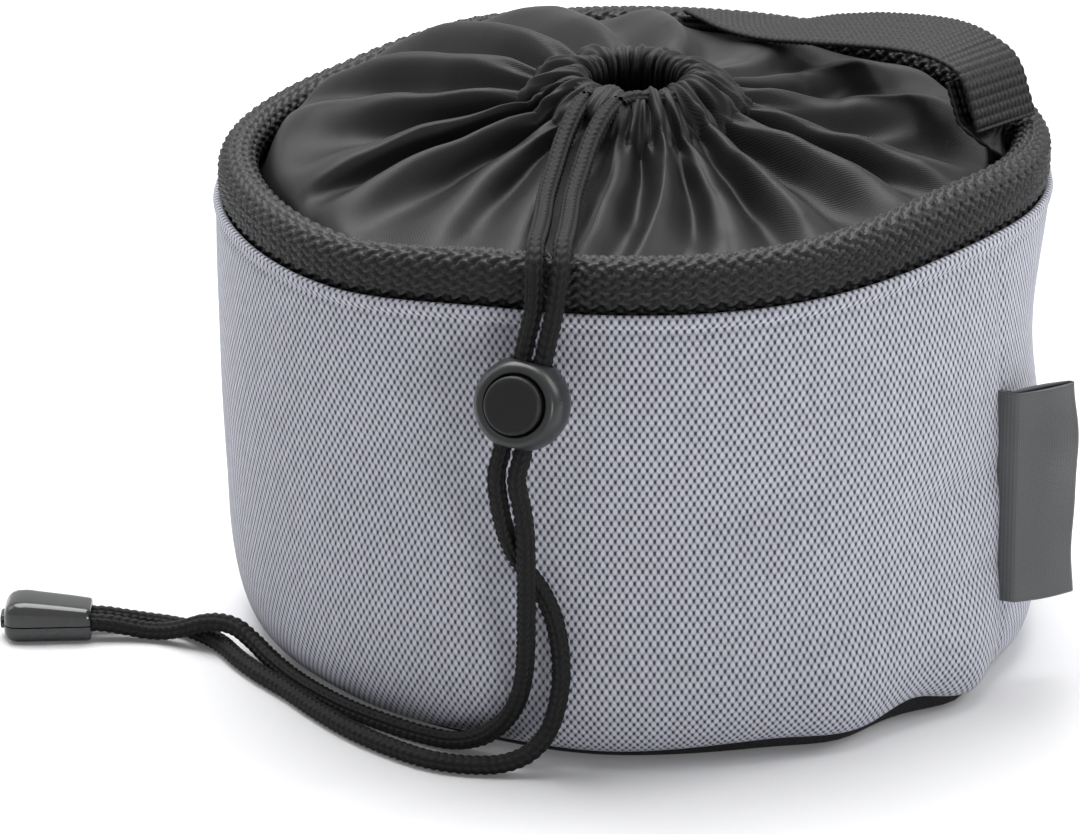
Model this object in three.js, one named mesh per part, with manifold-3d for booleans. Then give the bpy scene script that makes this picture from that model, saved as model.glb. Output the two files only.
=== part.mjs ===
// Peg bag: a round soft bucket of grey mesh cloth with a webbing rim and a black collar that a drawcord
// gathers shut. The cord has a sprung lock and a clip on its ends, and a webbing strap hangs the bag up.
// Millimetres, +Z up. The origin is the middle of the base, on the floor, and the cord hangs at the front, -Y.

import * as THREE from 'three';
import { mergeVertices } from 'three/addons/utils/BufferGeometryUtils.js';
import Module from 'manifold-3d';

// Wall, lining and base
const rimRadius = 95; // outside of the wall at its top edge
const wallHeight = 106;
const bellyRadius = 93.8; // outside of the wall where its lower curve begins
const bellyHeight = 30;
const footRadius = 84; // where the wall, turned under, meets the base panel
const wallThickness = 1.4;
const liningThickness = 0.6;
const basePanelThickness = 1.4;
const baseBoardThickness = 2;
const baseBoardMargin = 3; // from the board's edge to the base panel's edge
const seamGap = 0.3; // left between two pieces that touch

// Rim: webbing folded double over a hoop, its two edges sewn inside the wall
const rimWidth = 8.6;
const rimRise = 11.6; // above the wall's top edge
const rimSetback = 0.6; // of the binding's outer face, in from the wall's
const bindingThickness = 1.7;
const bindingLeg = 5; // depth of the sewn edges below the wall's top edge
const bindingSlot = 0.5; // between the two sewn edges

// Collar: cloth gathered from the rim to the mouth
const collarThickness = 1.1;
const collarRise = 8.4; // of the cloth near the mouth, above the rim's top
const foldDepth = 8.5; // from a crest to the valleys beside it
const foldLean = 3.5; // of the crests, towards the front
const puffAngle = THREE.MathUtils.degToRad(140); // where the cloth stands highest; it is taut across from there

// Main folds of the collar: degrees of the crest at the mouth and at the rim, and its share of the fold depth
const collarFolds = [
  { mouth: 28, rim: 12, height: 0.8 },
  { mouth: 45, rim: 36, height: 0.6 },
  { mouth: 58, rim: 62, height: 0.2 },
  { mouth: 70, rim: 90, height: 1.2 },
  { mouth: 94, rim: 110, height: 0.9 },
  { mouth: 117, rim: 137, height: 1.2 },
  { mouth: 147, rim: 157, height: 1.1 },
  { mouth: 184, rim: 172, height: 1 },
  { mouth: 195, rim: 202, height: 1 },
  { mouth: 206, rim: 212, height: 0.9 },
  { mouth: 220, rim: 235, height: 0.7 },
  { mouth: 238, rim: 249, height: 0.5 },
  { mouth: 262, rim: 258, height: 0.6 },
  { mouth: 285, rim: 267, height: 1.1 },
  { mouth: 298, rim: 284, height: 0.7 },
  { mouth: 311, rim: 301, height: 1 },
  { mouth: 337, rim: 326, height: 1.1 },
  { mouth: 358, rim: 342, height: 0.9 },
];

// Mouth and drawcord
const mouthX = -0.3;
const mouthY = -4;
const mouthRadius = 14.5; // to the middle of the cord channel
const cordDiameter = 4.2;
const cordSpacing = 4.7; // between the two strands, middle to middle
const cordClearance = 0.3;
const channelWall = 1;
const exitAngle = THREE.MathUtils.degToRad(-115);
const exitBend = 6.5; // radius that the channel's ends turn out at

// Cord lock
const lockAngle = THREE.MathUtils.degToRad(-104);
const lockHeight = 89;
const lockLean = THREE.MathUtils.degToRad(8.4); // sideways, with the cord
const lockTurn = THREE.MathUtils.degToRad(-19.5); // of the button, to the left
const lockTip = THREE.MathUtils.degToRad(-13); // of the button, upwards
const lockRadius = 10.4;
const lockBack = 9.2; // from the cords to the back
const lockFront = 6.6; // from the cords to the front face
const lockFaceRadius = 7.9;
const lockFlat = 9.2; // from the middle to the flats that the cords enter
const lockFloor = 1.6; // behind the spring
const lockWallClearance = 1.6; // room behind the lock to slide
const buttonRadius = 6.4;
const buttonClearance = 0.3;
const buttonStandOff = 2.2;
const buttonTravel = 2.5;
const buttonEdge = 0.8;
const buttonFloor = 1.7; // under the cord slot
const springSeatDepth = 1;
const springSeatRadius = 4.5;
const springRadius = 3.6;
const springWire = 0.4;
const springTurns = 3;

// Clip on the cord's two ends
const clipX = -135;
const clipY = -17.2;
const clipLength = 20;
const clipWidthClosedEnd = 12.8;
const clipWidthCordEnd = 11;
const clipHeightClosedEnd = 9.8;
const clipHeightCordEnd = 7.8;
const clipWall = 1.8; // under the cords
const clipCorner = 1.2;
const clipLugLength = 0.9; // the folded web that joins the halves
const clipLugWidth = 4.6;
const clipLugHeight = 3;
const knotLength = 5.4;
const knotWidth = 9.2;
const knotHeight = 5.2;

// Hanging strap, its tab and the hook-and-loop patches
const strapWidth = 20;
const strapThickness = 1.6;
const strapRootAngle = THREE.MathUtils.degToRad(75);
const strapRootDepth = 8; // sewn length below the rim's top
const strapHingeRise = 1.2; // of the first free point, above the rim's top
const strapBendAngle = THREE.MathUtils.degToRad(1.6);
const strapBendInset = 6.5; // of the bend, in from the rim's inner face
const strapBendRise = 15.4; // of the bend, above the rim's top
const flapHeading = THREE.MathUtils.degToRad(-44.6);
const flapLean = THREE.MathUtils.degToRad(23);
const flapLength = 15.5;
const patchThickness = 1.2;
const patchLength = 8;
const patchMargin = 1.5; // from the patch's sides to the strap's edges
const tabRootAngle = THREE.MathUtils.degToRad(0);
const tabTurn = 3.5; // from the flap's end up to where the tab begins to lie along it

// Label: a tape folded double, sewn into the side seam by its two ends
const labelAngle = THREE.MathUtils.degToRad(-29.6);
const labelHeading = THREE.MathUtils.degToRad(28);
const labelLength = 18.5;
const labelHeight = 50;
const labelBottom = 21;
const labelTape = 0.7;
const labelGap = 2.4; // between the two layers

// Faces round a full turn of the large rings, and along the wall's lower curve
const ringSegments = 48;
const bellySteps = 6;
const cordSides = 8;
const cordSteps = 48;
const channelSteps = 28;
const lockSegments = 24;

const wasm = await Module();
wasm.setup();

// Sizes that follow from those above
const rimTop = wallHeight + rimRise;
const rimOuter = rimRadius - rimSetback;
const rimInner = rimOuter - rimWidth;
const legTop = wallHeight + seamGap;
const legBottom = wallHeight - bindingLeg;
const legOuter = wallOuterRadius(legBottom) - wallThickness - seamGap;
const legInner = legOuter - 2 * bindingThickness - bindingSlot;
const collarSkirtOuter = legInner - seamGap;
const collarSkirtInner = collarSkirtOuter - collarThickness;
const cordRadius = cordDiameter / 2;
const channelBore = cordRadius + cordClearance;
const channelRadius = (channelBore + channelWall) / Math.cos(Math.PI / cordSides);
const channelHeight = rimTop + collarRise + channelRadius + seamGap;

// Materials
function finish(color, roughness, metalness = 0) {
  return new THREE.MeshStandardMaterial({ color, roughness, metalness });
}
const greyMesh = finish(0xa9aebc, 0.85);
const blackWebbing = finish(0x1b1b1d, 0.8);
const blackTwill = finish(0x1e1e20, 0.55);
const blackLining = finish(0x222224, 0.8);
const boardGrey = finish(0x4a4b4d, 0.7);
const hoopPlastic = finish(0x2a2a2c, 0.5);
const blackBraid = finish(0x18181a, 0.75);
const lockPlastic = finish(0x2b2c2f, 0.42);
const clipPlastic = finish(0x303236, 0.25);
const springSteel = finish(0xb4b6b8, 0.3, 1);
const labelGrey = finish(0x5a5d61, 0.7);
const hookTape = finish(0x151516, 0.9);

// Outside radius of the wall at a height: an elliptical turn at the bottom, then nearly straight
function wallOuterRadius(z) {
  if (z >= bellyHeight) {
    return bellyRadius + ((rimRadius - bellyRadius) * (z - bellyHeight)) / (wallHeight - bellyHeight);
  }
  const below = (bellyHeight - z) / bellyHeight;
  return footRadius + (bellyRadius - footRadius) * Math.sqrt(1 - below * below);
}

function polar(angle, radius, z) {
  return new THREE.Vector3(radius * Math.cos(angle), radius * Math.sin(angle), z);
}

function arc(centreX, centreY, radius, from, to, steps) {
  const points = [];
  for (let i = 0; i <= steps; i++) {
    const angle = THREE.MathUtils.lerp(from, to, i / steps);
    points.push([centreX + radius * Math.cos(angle), centreY + radius * Math.sin(angle)]);
  }
  return points;
}

// Turned piece about Z from [radius, height] points that run anticlockwise round the section
function turned(profile, segments = ringSegments) {
  const points = profile.map(([radius, height]) => new THREE.Vector2(radius, height));
  return new THREE.LatheGeometry(points, segments).rotateX(Math.PI / 2);
}

function closed(profile) {
  return [...profile, profile[0]];
}

// Closed solid through a row of sections with the same number of points; a looped row joins its own start
function loft(sections, looped = false) {
  const sides = sections[0].length;
  const index = [];
  const spans = looped ? sections.length : sections.length - 1;
  for (let i = 0; i < spans; i++) {
    const here = i * sides;
    const next = ((i + 1) % sections.length) * sides;
    for (let k = 0; k < sides; k++) {
      const k2 = (k + 1) % sides;
      index.push(here + k, next + k, next + k2, here + k, next + k2, here + k2);
    }
  }
  if (!looped) {
    const last = (sections.length - 1) * sides;
    for (let k = 1; k < sides - 1; k++) {
      index.push(0, k, k + 1);
      index.push(last, last + k + 1, last + k);
    }
  }
  const geometry = new THREE.BufferGeometry().setFromPoints(sections.flat());
  geometry.setIndex(index);
  return geometry;
}

// Flat band through stations of { at, across }, with the side of its thickness square to both
function ribbon(stations, width, thickness) {
  const sections = stations.map(({ at, across }, i) => {
    const before = stations[Math.max(i - 1, 0)].at;
    const after = stations[Math.min(i + 1, stations.length - 1)].at;
    const along = after.clone().sub(before).normalize();
    const face = across.clone().cross(along).normalize();
    const corner = (s, f) =>
      at
        .clone()
        .addScaledVector(across, (s * width) / 2)
        .addScaledVector(face, (f * thickness) / 2);
    return [corner(-1, -1), corner(1, -1), corner(1, 1), corner(-1, 1)];
  });
  return loft(sections);
}

function circleShape(radius, sides) {
  const shape = new THREE.Shape();
  const points = arc(0, 0, radius, 0, 2 * Math.PI, sides).slice(0, -1);
  shape.setFromPoints(points.map(([x, y]) => new THREE.Vector2(x, y)));
  return shape;
}

function tube(points, radius, sides, steps, bore = 0) {
  const shape = circleShape(radius, sides);
  if (bore > 0) {
    shape.holes.push(circleShape(bore, sides));
  }
  const extrudePath = new THREE.CatmullRomCurve3(points, false, 'centripetal');
  return new THREE.ExtrudeGeometry(shape, { steps, extrudePath, bevelEnabled: false });
}

// Slot for the two strands side by side in X, cut through along Z, its corners round the strands
function slotCutter(low, high, length) {
  const radius = channelBore;
  const halfWidth = cordSpacing / 2 + radius;
  const shape = new THREE.Shape();
  shape.absarc(halfWidth - radius, high - radius, radius, 0, Math.PI / 2);
  shape.absarc(radius - halfWidth, high - radius, radius, Math.PI / 2, Math.PI);
  shape.absarc(radius - halfWidth, low + radius, radius, Math.PI, 1.5 * Math.PI);
  shape.absarc(halfWidth - radius, low + radius, radius, 1.5 * Math.PI, 2 * Math.PI);
  const cutter = new THREE.ExtrudeGeometry(shape, { depth: length, bevelEnabled: false, curveSegments: 3 });
  return cutter.translate(0, 0, -length / 2);
}

function toSolid(geometry) {
  const bare = new THREE.BufferGeometry();
  bare.setAttribute('position', geometry.getAttribute('position').clone());
  bare.setIndex(geometry.index);
  const merged = mergeVertices(bare, 1e-3);
  const vertProperties = merged.getAttribute('position').array;
  const triVerts = new Uint32Array(merged.index.array);
  return new wasm.Manifold(new wasm.Mesh({ numProp: 3, vertProperties, triVerts }));
}

function cut(geometry, ...cutters) {
  const solid = cutters.reduce((left, cutter) => left.subtract(toSolid(cutter)), toSolid(geometry));
  const mesh = solid.getMesh();
  const result = new THREE.BufferGeometry();
  result.setAttribute('position', new THREE.BufferAttribute(new Float32Array(mesh.vertProperties), 3));
  result.setIndex(new THREE.BufferAttribute(new Uint32Array(mesh.triVerts), 1));
  return result;
}

function add(group, name, geometry, material) {
  const mesh = new THREE.Mesh(geometry, material);
  mesh.name = name;
  group.add(mesh);
}

// Side wall and lining: two skins that turn under at the bottom
function belly(inset) {
  const points = [];
  for (let i = 0; i <= bellySteps; i++) {
    const angle = (Math.PI / 2) * (1 - i / bellySteps);
    const radius = footRadius + (bellyRadius - footRadius - inset) * Math.cos(angle);
    points.push([radius, bellyHeight - (bellyHeight - inset) * Math.sin(angle)]);
  }
  return points;
}

function sideWall() {
  const outside = [...belly(0), [rimRadius, wallHeight]];
  const inside = [...belly(wallThickness), [rimRadius - wallThickness, wallHeight]];
  return turned(closed([...outside, ...inside.reverse()]));
}

// The lining follows the wall, and steps in near the top to clear the sewn edges of the rim and collar
function sideLining() {
  const outerInset = wallThickness + seamGap;
  const innerInset = outerInset + liningThickness;
  const stepOuter = collarSkirtInner - seamGap;
  const stepInner = stepOuter - liningThickness;
  const stepHeight = legBottom - 2 * bindingLeg;
  const top = legBottom + bindingLeg / 2;
  const stepLow = legBottom - bindingLeg / 2;
  const outside = [
    ...belly(outerInset),
    [wallOuterRadius(stepHeight) - outerInset, stepHeight],
    [stepOuter, stepLow],
    [stepOuter, top],
  ];
  const inside = [
    ...belly(innerInset),
    [wallOuterRadius(stepHeight) - innerInset, stepHeight],
    [stepInner, stepLow],
    [stepInner, top],
  ];
  return turned(closed([...outside, ...inside.reverse()]));
}

function disc(radius, low, thickness) {
  return turned([
    [0, low],
    [radius, low],
    [radius, low + thickness],
    [0, low + thickness],
  ]);
}

function addBase(group) {
  const panelRadius = footRadius - seamGap;
  const boardLow = basePanelThickness + seamGap;
  const liningLow = boardLow + baseBoardThickness + seamGap;
  add(group, 'base_panel', disc(panelRadius, 0, basePanelThickness), blackLining);
  add(group, 'base_board', disc(panelRadius - baseBoardMargin, boardLow, baseBoardThickness), boardGrey);
  add(group, 'base_lining', disc(panelRadius - baseBoardMargin, liningLow, liningThickness), blackLining);
}

// Rim binding: a loop over the hoop, with its two legs together in the seam
function rimBinding() {
  const middle = (rimOuter + rimInner) / 2;
  const half = rimWidth / 2;
  const crown = rimTop - half;
  const inner = half - bindingThickness;
  const shoulderOut = legTop + rimOuter - legOuter;
  const shoulderIn = legTop + legInner - rimInner;
  const outside = [
    [legOuter, legBottom],
    [legOuter, legTop],
    [rimOuter, shoulderOut],
    ...arc(middle, crown, half, 0, Math.PI, 6),
    [rimInner, shoulderIn],
    [legInner, legTop],
    [legInner, legBottom],
  ];
  const inside = [
    [legInner + bindingThickness, legBottom],
    [legInner + bindingThickness, legTop + bindingSlot],
    [rimInner + bindingThickness, shoulderIn + bindingSlot],
    ...arc(middle, crown, inner, Math.PI, 0, 6),
    [rimOuter - bindingThickness, shoulderOut + bindingSlot],
    [legOuter - bindingThickness, legTop + bindingSlot],
    [legOuter - bindingThickness, legBottom],
  ];
  return turned(closed([...outside, ...inside]));
}

function rimHoop() {
  const middle = (rimOuter + rimInner) / 2;
  const half = rimWidth / 2;
  const section = arc(middle, rimTop - half, half - bindingThickness - seamGap, 0, 2 * Math.PI, 8);
  return turned(closed(section.slice(0, -1)));
}

// Collar: a skirt in the rim's seam, then cloth that runs in to the mouth, slack and high on the puffed side and
// taut and low on the other. Each ring gives a radius, its two heights, and its shares of the fold depth and of
// the mouth's offset. The columns of faces run along the crests and valleys of the folds.
function collar() {
  const crown = rimTop + collarRise - collarThickness / 2;
  const skirtMiddle = (collarSkirtOuter + collarSkirtInner) / 2;
  const mouthEdge = mouthRadius - channelRadius + 1;
  const gathered = mouthRadius + 8;
  const rings = [
    { radius: skirtMiddle, slack: legBottom, taut: legBottom, fold: 0, shift: 0 },
    { radius: skirtMiddle, slack: legTop - 1, taut: legTop - 1, fold: 0, shift: 0 },
    { radius: rimInner - 3.7, slack: legTop + 1.4, taut: legTop + 1, fold: 0, shift: 0 },
    { radius: rimInner - 4.6, slack: rimTop - 2.6, taut: legTop + 1.6, fold: 0.1, shift: 0 },
    { radius: rimInner - 7, slack: rimTop + 3.4, taut: rimTop - 8.8, fold: 0.3, shift: 0 },
    { radius: rimInner - 16, slack: rimTop + 7, taut: rimTop - 6.4, fold: 0.7, shift: 0.1 },
    { radius: rimInner - 36, slack: crown + 1.3, taut: crown - 9.6, fold: 1, shift: 0.4 },
    { radius: gathered, slack: crown - 0.8, taut: crown - 1.6, fold: 0.35, shift: 1 },
    { radius: mouthEdge, slack: crown - 0.7, taut: crown - 0.7, fold: 0.08, shift: 1 },
  ];
  const columnsPerFold = 4;
  const sections = [];
  collarFolds.forEach((fold, i) => {
    const isLast = i === collarFolds.length - 1;
    const next = isLast ? collarFolds[0] : collarFolds[i + 1];
    const turn = isLast ? 360 : 0;
    for (let column = 0; column < columnsPerFold; column++) {
      const phase = column / columnsPerFold;
      const crest = 0.5 + 0.5 * Math.cos(2 * Math.PI * phase);
      const rise = foldDepth * THREE.MathUtils.lerp(fold.height, next.height, phase) * (crest - 0.5);
      const mouthAngle = THREE.MathUtils.degToRad(THREE.MathUtils.lerp(fold.mouth, next.mouth + turn, phase));
      const rimAngle = THREE.MathUtils.degToRad(THREE.MathUtils.lerp(fold.rim, next.rim + turn, phase));
      const upper = [];
      const lower = [];
      rings.forEach((ring, j) => {
        const inward = THREE.MathUtils.clamp((rimInner - ring.radius) / (rimInner - gathered), 0, 1);
        const straight = THREE.MathUtils.lerp(rimAngle, mouthAngle, inward);
        const angle = straight - (foldLean * ring.fold * crest * Math.cos(straight)) / ring.radius;
        const puff = (0.5 + 0.5 * Math.cos(angle - puffAngle)) ** 1.7;
        const height = THREE.MathUtils.lerp(ring.taut, ring.slack, puff);
        const middle = polar(angle, ring.radius, height + rise * ring.fold);
        middle.add(new THREE.Vector3(mouthX * ring.shift, mouthY * ring.shift, 0));
        const isSkirt = j < 2;
        const half = isSkirt ? polar(angle, 1, 0) : new THREE.Vector3(0, 0, 1);
        half.multiplyScalar(collarThickness / 2);
        upper.push(middle.clone().add(half));
        lower.push(middle.clone().sub(half));
      });
      sections.push([...lower.reverse(), ...upper]);
    }
  });
  return loft(sections, true);
}

// Mouth's middle line: a ring whose two ends turn out to leave side by side
function mouthLine() {
  const sideways = cordSpacing / 2 + channelRadius - cordRadius;
  const reach = mouthRadius + exitBend;
  const across = sideways + exitBend;
  const out = Math.sqrt(reach * reach - across * across);
  const spread = Math.asin(across / reach);
  const flat = [
    ...arc(out, across, exitBend, -Math.PI / 2, spread - Math.PI, 5),
    ...arc(0, 0, mouthRadius, spread, 2 * Math.PI - spread, 24).slice(1, -1),
    ...arc(out, -across, exitBend, Math.PI - spread, Math.PI / 2, 5),
  ];
  const turn = new THREE.Matrix4().makeRotationZ(exitAngle);
  turn.setPosition(mouthX, mouthY, channelHeight);
  return flat.map(([x, y]) => new THREE.Vector3(x, y, 0).applyMatrix4(turn));
}

// Cord lock's own frame: X to the right, -Y out through the button, Z up along the cords
const lockFrame = new THREE.Matrix4();
lockFrame.makeRotationFromEuler(new THREE.Euler(lockTip, lockLean, lockTurn, 'YZX'));
lockFrame.setPosition(polar(lockAngle, wallOuterRadius(lockHeight) + lockWallClearance + lockBack, lockHeight));

// Heights along the lock's own axis where the strands run straight, so that it can slide on them
const straightStations = [20, 14, 7, 0, -7, -12, -16.5];

function strandInLock(side) {
  return straightStations.map((z) => new THREE.Vector3((side * cordSpacing) / 2, 0, z).applyMatrix4(lockFrame));
}

function chosen(points) {
  return points.map(([x, y, z]) => new THREE.Vector3(x, y, z));
}

// Free strands, from the channel over the rim, through the lock, down to the floor and along it to the clip
const leftOverCollar = chosen([
  [-14, -26.5, 129.4],
  [-16.6, -36, 126.4],
  [-18.8, -48, 123.2],
  [-20.6, -60, 121],
  [-21.4, -72, 120],
  [-22.2, -83, 120.3],
  [-22.8, -90, 120.5],
  [-23, -95, 117.8],
]);
const leftBelowLock = chosen([
  [-30.6, -104.4, 66],
  [-29.4, -102.6, 59.6],
  [-27.6, -100.4, 54],
  [-25, -98.2, 48.8],
  [-21.7, -96.9, 43.4],
  [-19.2, -96.5, 37.5],
  [-17.7, -96.5, 30.5],
  [-17.3, -96.6, 23],
  [-18.2, -97, 16],
  [-20.4, -97.4, 9.8],
  [-24.4, -97.6, 5.2],
  [-30, -97.6, 2.8],
  [-37, -97, 2.2],
  [-45.4, -94.4, 2.2],
  [-54.4, -87.6, 2.2],
  [-63.6, -77.8, 2.2],
  [-71.6, -66.6, 2.2],
  [-78.8, -54.8, 2.2],
  [-85.8, -44.6, 2.2],
  [-90.8, -35.9, 2.2],
  [-94.4, -28.4, 2.2],
  [-98.4, -22.8, 2.2],
  [-102.8, -18.6, 2.2],
  [-107.4, -16, 2.2],
  [-112.4, -14.9, 2.5],
  [-117.5, -14.8, 3.3],
  [-122.3, -14.85, 4.05],
]);
const rightOverCollar = chosen([
  [-7.8, -29.5, 129.4],
  [-10.7, -38, 126.4],
  [-13, -49, 123.2],
  [-14.8, -60, 121],
  [-15.6, -72, 120],
  [-16.3, -83, 120.3],
  [-16.9, -90.5, 120.5],
  [-17.4, -95.5, 117.8],
]);
const rightBelowLock = chosen([
  [-25.8, -105.8, 66],
  [-25.1, -104.9, 59.6],
  [-24.9, -103.6, 51],
  [-24.9, -101.2, 41],
  [-25, -98.4, 31],
  [-25.5, -95.8, 22.5],
  [-27, -93.6, 15.6],
  [-30, -91, 9.8],
  [-34.6, -88, 5.2],
  [-40.6, -84.6, 2.7],
  [-48.6, -79.6, 2.2],
  [-56.6, -73.2, 2.2],
  [-64.8, -65.3, 2.2],
  [-72.2, -55.9, 2.2],
  [-78.4, -46.4, 2.3],
  [-83.4, -38.6, 3.4],
  [-87.4, -33, 5.2],
  [-91.2, -29.5, 7],
  [-95.2, -27.2, 7.3],
  [-99.2, -25.3, 6.3],
  [-103.4, -23.4, 4.3],
  [-107.8, -21.4, 2.8],
  [-112.5, -20.1, 2.5],
  [-117.5, -19.6, 3.3],
  [-122.3, -19.55, 4.05],
]);

function strand(side, overCollar, belowLock) {
  const line = mouthLine();
  const fromEnd = side < 0 ? [line.length - 1, line.length - 2] : [0, 1];
  const outward = line[fromEnd[0]].clone().sub(line[fromEnd[1]]).normalize();
  const start = line[fromEnd[0]].clone().addScaledVector(outward, seamGap);
  const y = clipY - (side * cordSpacing) / 2; // the strands have crossed by here
  const z = clipWall + channelBore;
  const inClip = chosen([
    [clipX + clipLength / 2 - 3, y, z],
    [clipX + seamGap, y, z],
  ]);
  return [start, ...overCollar, ...strandInLock(side), ...belowLock, ...inClip];
}

function addDrawcord(group) {
  const line = mouthLine();
  const bore = channelBore / Math.cos(Math.PI / cordSides);
  add(group, 'cord_channel', tube(line, channelRadius, cordSides, channelSteps, bore), blackTwill);
  add(group, 'drawcord_loop', tube(line, cordRadius, cordSides, channelSteps), blackBraid);
  const left = strand(-1, leftOverCollar, leftBelowLock);
  const right = strand(1, rightOverCollar, rightBelowLock);
  add(group, 'drawcord_left', tube(left, cordRadius, cordSides, cordSteps), blackBraid);
  add(group, 'drawcord_right', tube(right, cordRadius, cordSides, cordSteps), blackBraid);
}

// Cord lock: turned about the button's axis, then laid so that the button looks along -Y
function quarterTurn(start, end, steps) {
  return arc(0, 0, 1, 0, Math.PI / 2, steps).map(([c, s]) => [
    end[0] + (start[0] - end[0]) * c,
    start[1] + (end[1] - start[1]) * s,
  ]);
}

function lockBody() {
  const bore = buttonRadius + buttonClearance;
  const floor = lockFloor - lockBack;
  const back = quarterTurn([lockRadius, 0], [0, -lockBack], 6).reverse();
  const front = quarterTurn([lockRadius, 0], [lockFaceRadius, lockFront], 5);
  const profile = [...back, ...front.slice(1), [bore, lockFront], [bore, floor], [0, floor]];
  const ball = turned(profile, lockSegments).rotateZ(Math.PI / lockSegments).rotateX(Math.PI / 2);
  const reach = 4 * lockRadius;
  const flats = [1, -1].map((end) =>
    new THREE.BoxGeometry(reach, reach, lockRadius).translate(0, 0, end * (lockFlat + lockRadius / 2)),
  );
  return cut(ball, slotCutter(-channelBore, channelBore, reach), ...flats);
}

function lockButton() {
  const face = lockFront + buttonStandOff;
  const foot = -channelBore - buttonFloor;
  const seat = foot + springSeatDepth;
  const profile = [
    [0, seat],
    [springSeatRadius, seat],
    [springSeatRadius, foot],
    [buttonRadius, foot],
    [buttonRadius, face - buttonEdge],
    [buttonRadius - buttonEdge, face],
    [0, face],
  ];
  const plunger = turned(profile, lockSegments).rotateZ(Math.PI / lockSegments).rotateX(Math.PI / 2);
  return cut(plunger, slotCutter(-channelBore - buttonTravel, channelBore, 4 * buttonRadius));
}

function lockSpring() {
  const low = lockFloor - lockBack + seamGap + springWire / 2;
  const high = -channelBore - buttonFloor + springSeatDepth - seamGap - springWire / 2;
  const steps = springTurns * 8;
  const points = [];
  for (let i = 0; i <= steps; i++) {
    const angle = (i / 8) * 2 * Math.PI;
    const along = THREE.MathUtils.lerp(low, high, i / steps);
    points.push(new THREE.Vector3(springRadius * Math.cos(angle), -along, springRadius * Math.sin(angle)));
  }
  return tube(points, springWire / 2, 5, steps);
}

function addLock(group) {
  const lock = new THREE.Group();
  lock.applyMatrix4(lockFrame);
  add(lock, 'lock_body', lockBody(), lockPlastic);
  add(lock, 'lock_button', lockButton(), lockPlastic);
  add(lock, 'lock_spring', lockSpring(), springSteel);
  group.add(lock);
}

// Clip: two half shells that close on the cords and the knot, joined by a folded web at the far end
function clipHalf(isUpper) {
  const parting = clipWall + channelBore;
  const face = isUpper ? parting + seamGap / 2 : parting - seamGap / 2;
  const half = clipLength / 2;
  const lugHalf = clipLugWidth / 2;
  const lugReach = clipLugHeight / 2;
  const far = (share) => (isUpper ? parting + (clipHeightClosedEnd - parting) * share : parting * (1 - share));
  const cordEnd = isUpper ? clipHeightCordEnd : 0;
  const lugSide = isUpper ? parting + lugReach : parting - lugReach;
  const stations = [
    { x: -half - clipLugLength, wide: lugHalf - 0.4, side: lugSide },
    { x: -half - 0.1, wide: lugHalf, side: lugSide },
    { x: -half, wide: clipWidthClosedEnd / 2 - 2.2, side: far(0.6) },
    { x: -half + 0.8, wide: clipWidthClosedEnd / 2 - 0.8, side: far(0.85) },
    { x: -half + 2.4, wide: clipWidthClosedEnd / 2, side: far(1) },
    { x: half - 0.5, wide: clipWidthCordEnd / 2, side: cordEnd },
    { x: half, wide: clipWidthCordEnd / 2 - 0.3, side: cordEnd },
  ];
  const sections = stations.map(({ x, wide, side }) => {
    const corner = Math.min(clipCorner, Math.abs(side - face) / 2) * Math.sign(face - side);
    const section = [
      [-wide, face],
      [-wide, side + corner],
      [Math.abs(corner) - wide, side],
      [wide - Math.abs(corner), side],
      [wide, side + corner],
      [wide, face],
    ];
    const points = section.map(([y, z]) => new THREE.Vector3(x, y, z));
    return isUpper ? points : points.reverse();
  });
  const cordSlot = slotCutter(-channelBore, channelBore, clipLength);
  cordSlot.rotateX(Math.PI / 2).rotateZ(Math.PI / 2).translate(half, 0, parting);
  const room = 2 * cordClearance;
  const knotRoom = new THREE.BoxGeometry(knotLength + room, knotWidth + room, knotHeight + room);
  knotRoom.translate(-knotLength / 2 - cordClearance, 0, clipWall + (knotHeight + room) / 2);
  return cut(loft(sections), cordSlot, knotRoom);
}

function addClip(group) {
  const clip = new THREE.Group();
  clip.position.set(clipX, clipY, 0);
  const knot = new THREE.SphereGeometry(0.5, 12, 8).scale(knotLength, knotWidth, knotHeight);
  knot.translate(-knotLength / 2 - cordClearance, 0, clipWall + knotHeight / 2 + cordClearance);
  add(clip, 'clip_lower_half', clipHalf(false), clipPlastic);
  add(clip, 'clip_upper_half', clipHalf(true), clipPlastic);
  add(clip, 'clip_knot', knot, blackBraid);
  group.add(clip);
}

// Strap: a root sewn between rim and collar, a straight rising run, and a flap that bends down over the tab
const rootRadius = rimInner - seamGap - strapThickness / 2 - 0.7;
const strapStart = polar(strapRootAngle, rootRadius, rimTop + strapHingeRise);
const strapBend = polar(strapBendAngle, rimInner - strapBendInset, rimTop + strapBendRise);
const rootAcross = polar(strapRootAngle - Math.PI / 2, 1, 0);
const flapForward = polar(flapHeading, 1, 0);
const flapAcross = polar(flapHeading + Math.PI / 2, 1, 0);
const flapDown = flapForward.clone().multiplyScalar(Math.sin(flapLean)).setZ(-Math.cos(flapLean));
const flapFace = flapForward.clone().multiplyScalar(Math.cos(flapLean)).setZ(Math.sin(flapLean));

function onFlap(distance) {
  return strapBend.clone().addScaledVector(flapDown, distance);
}

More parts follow.
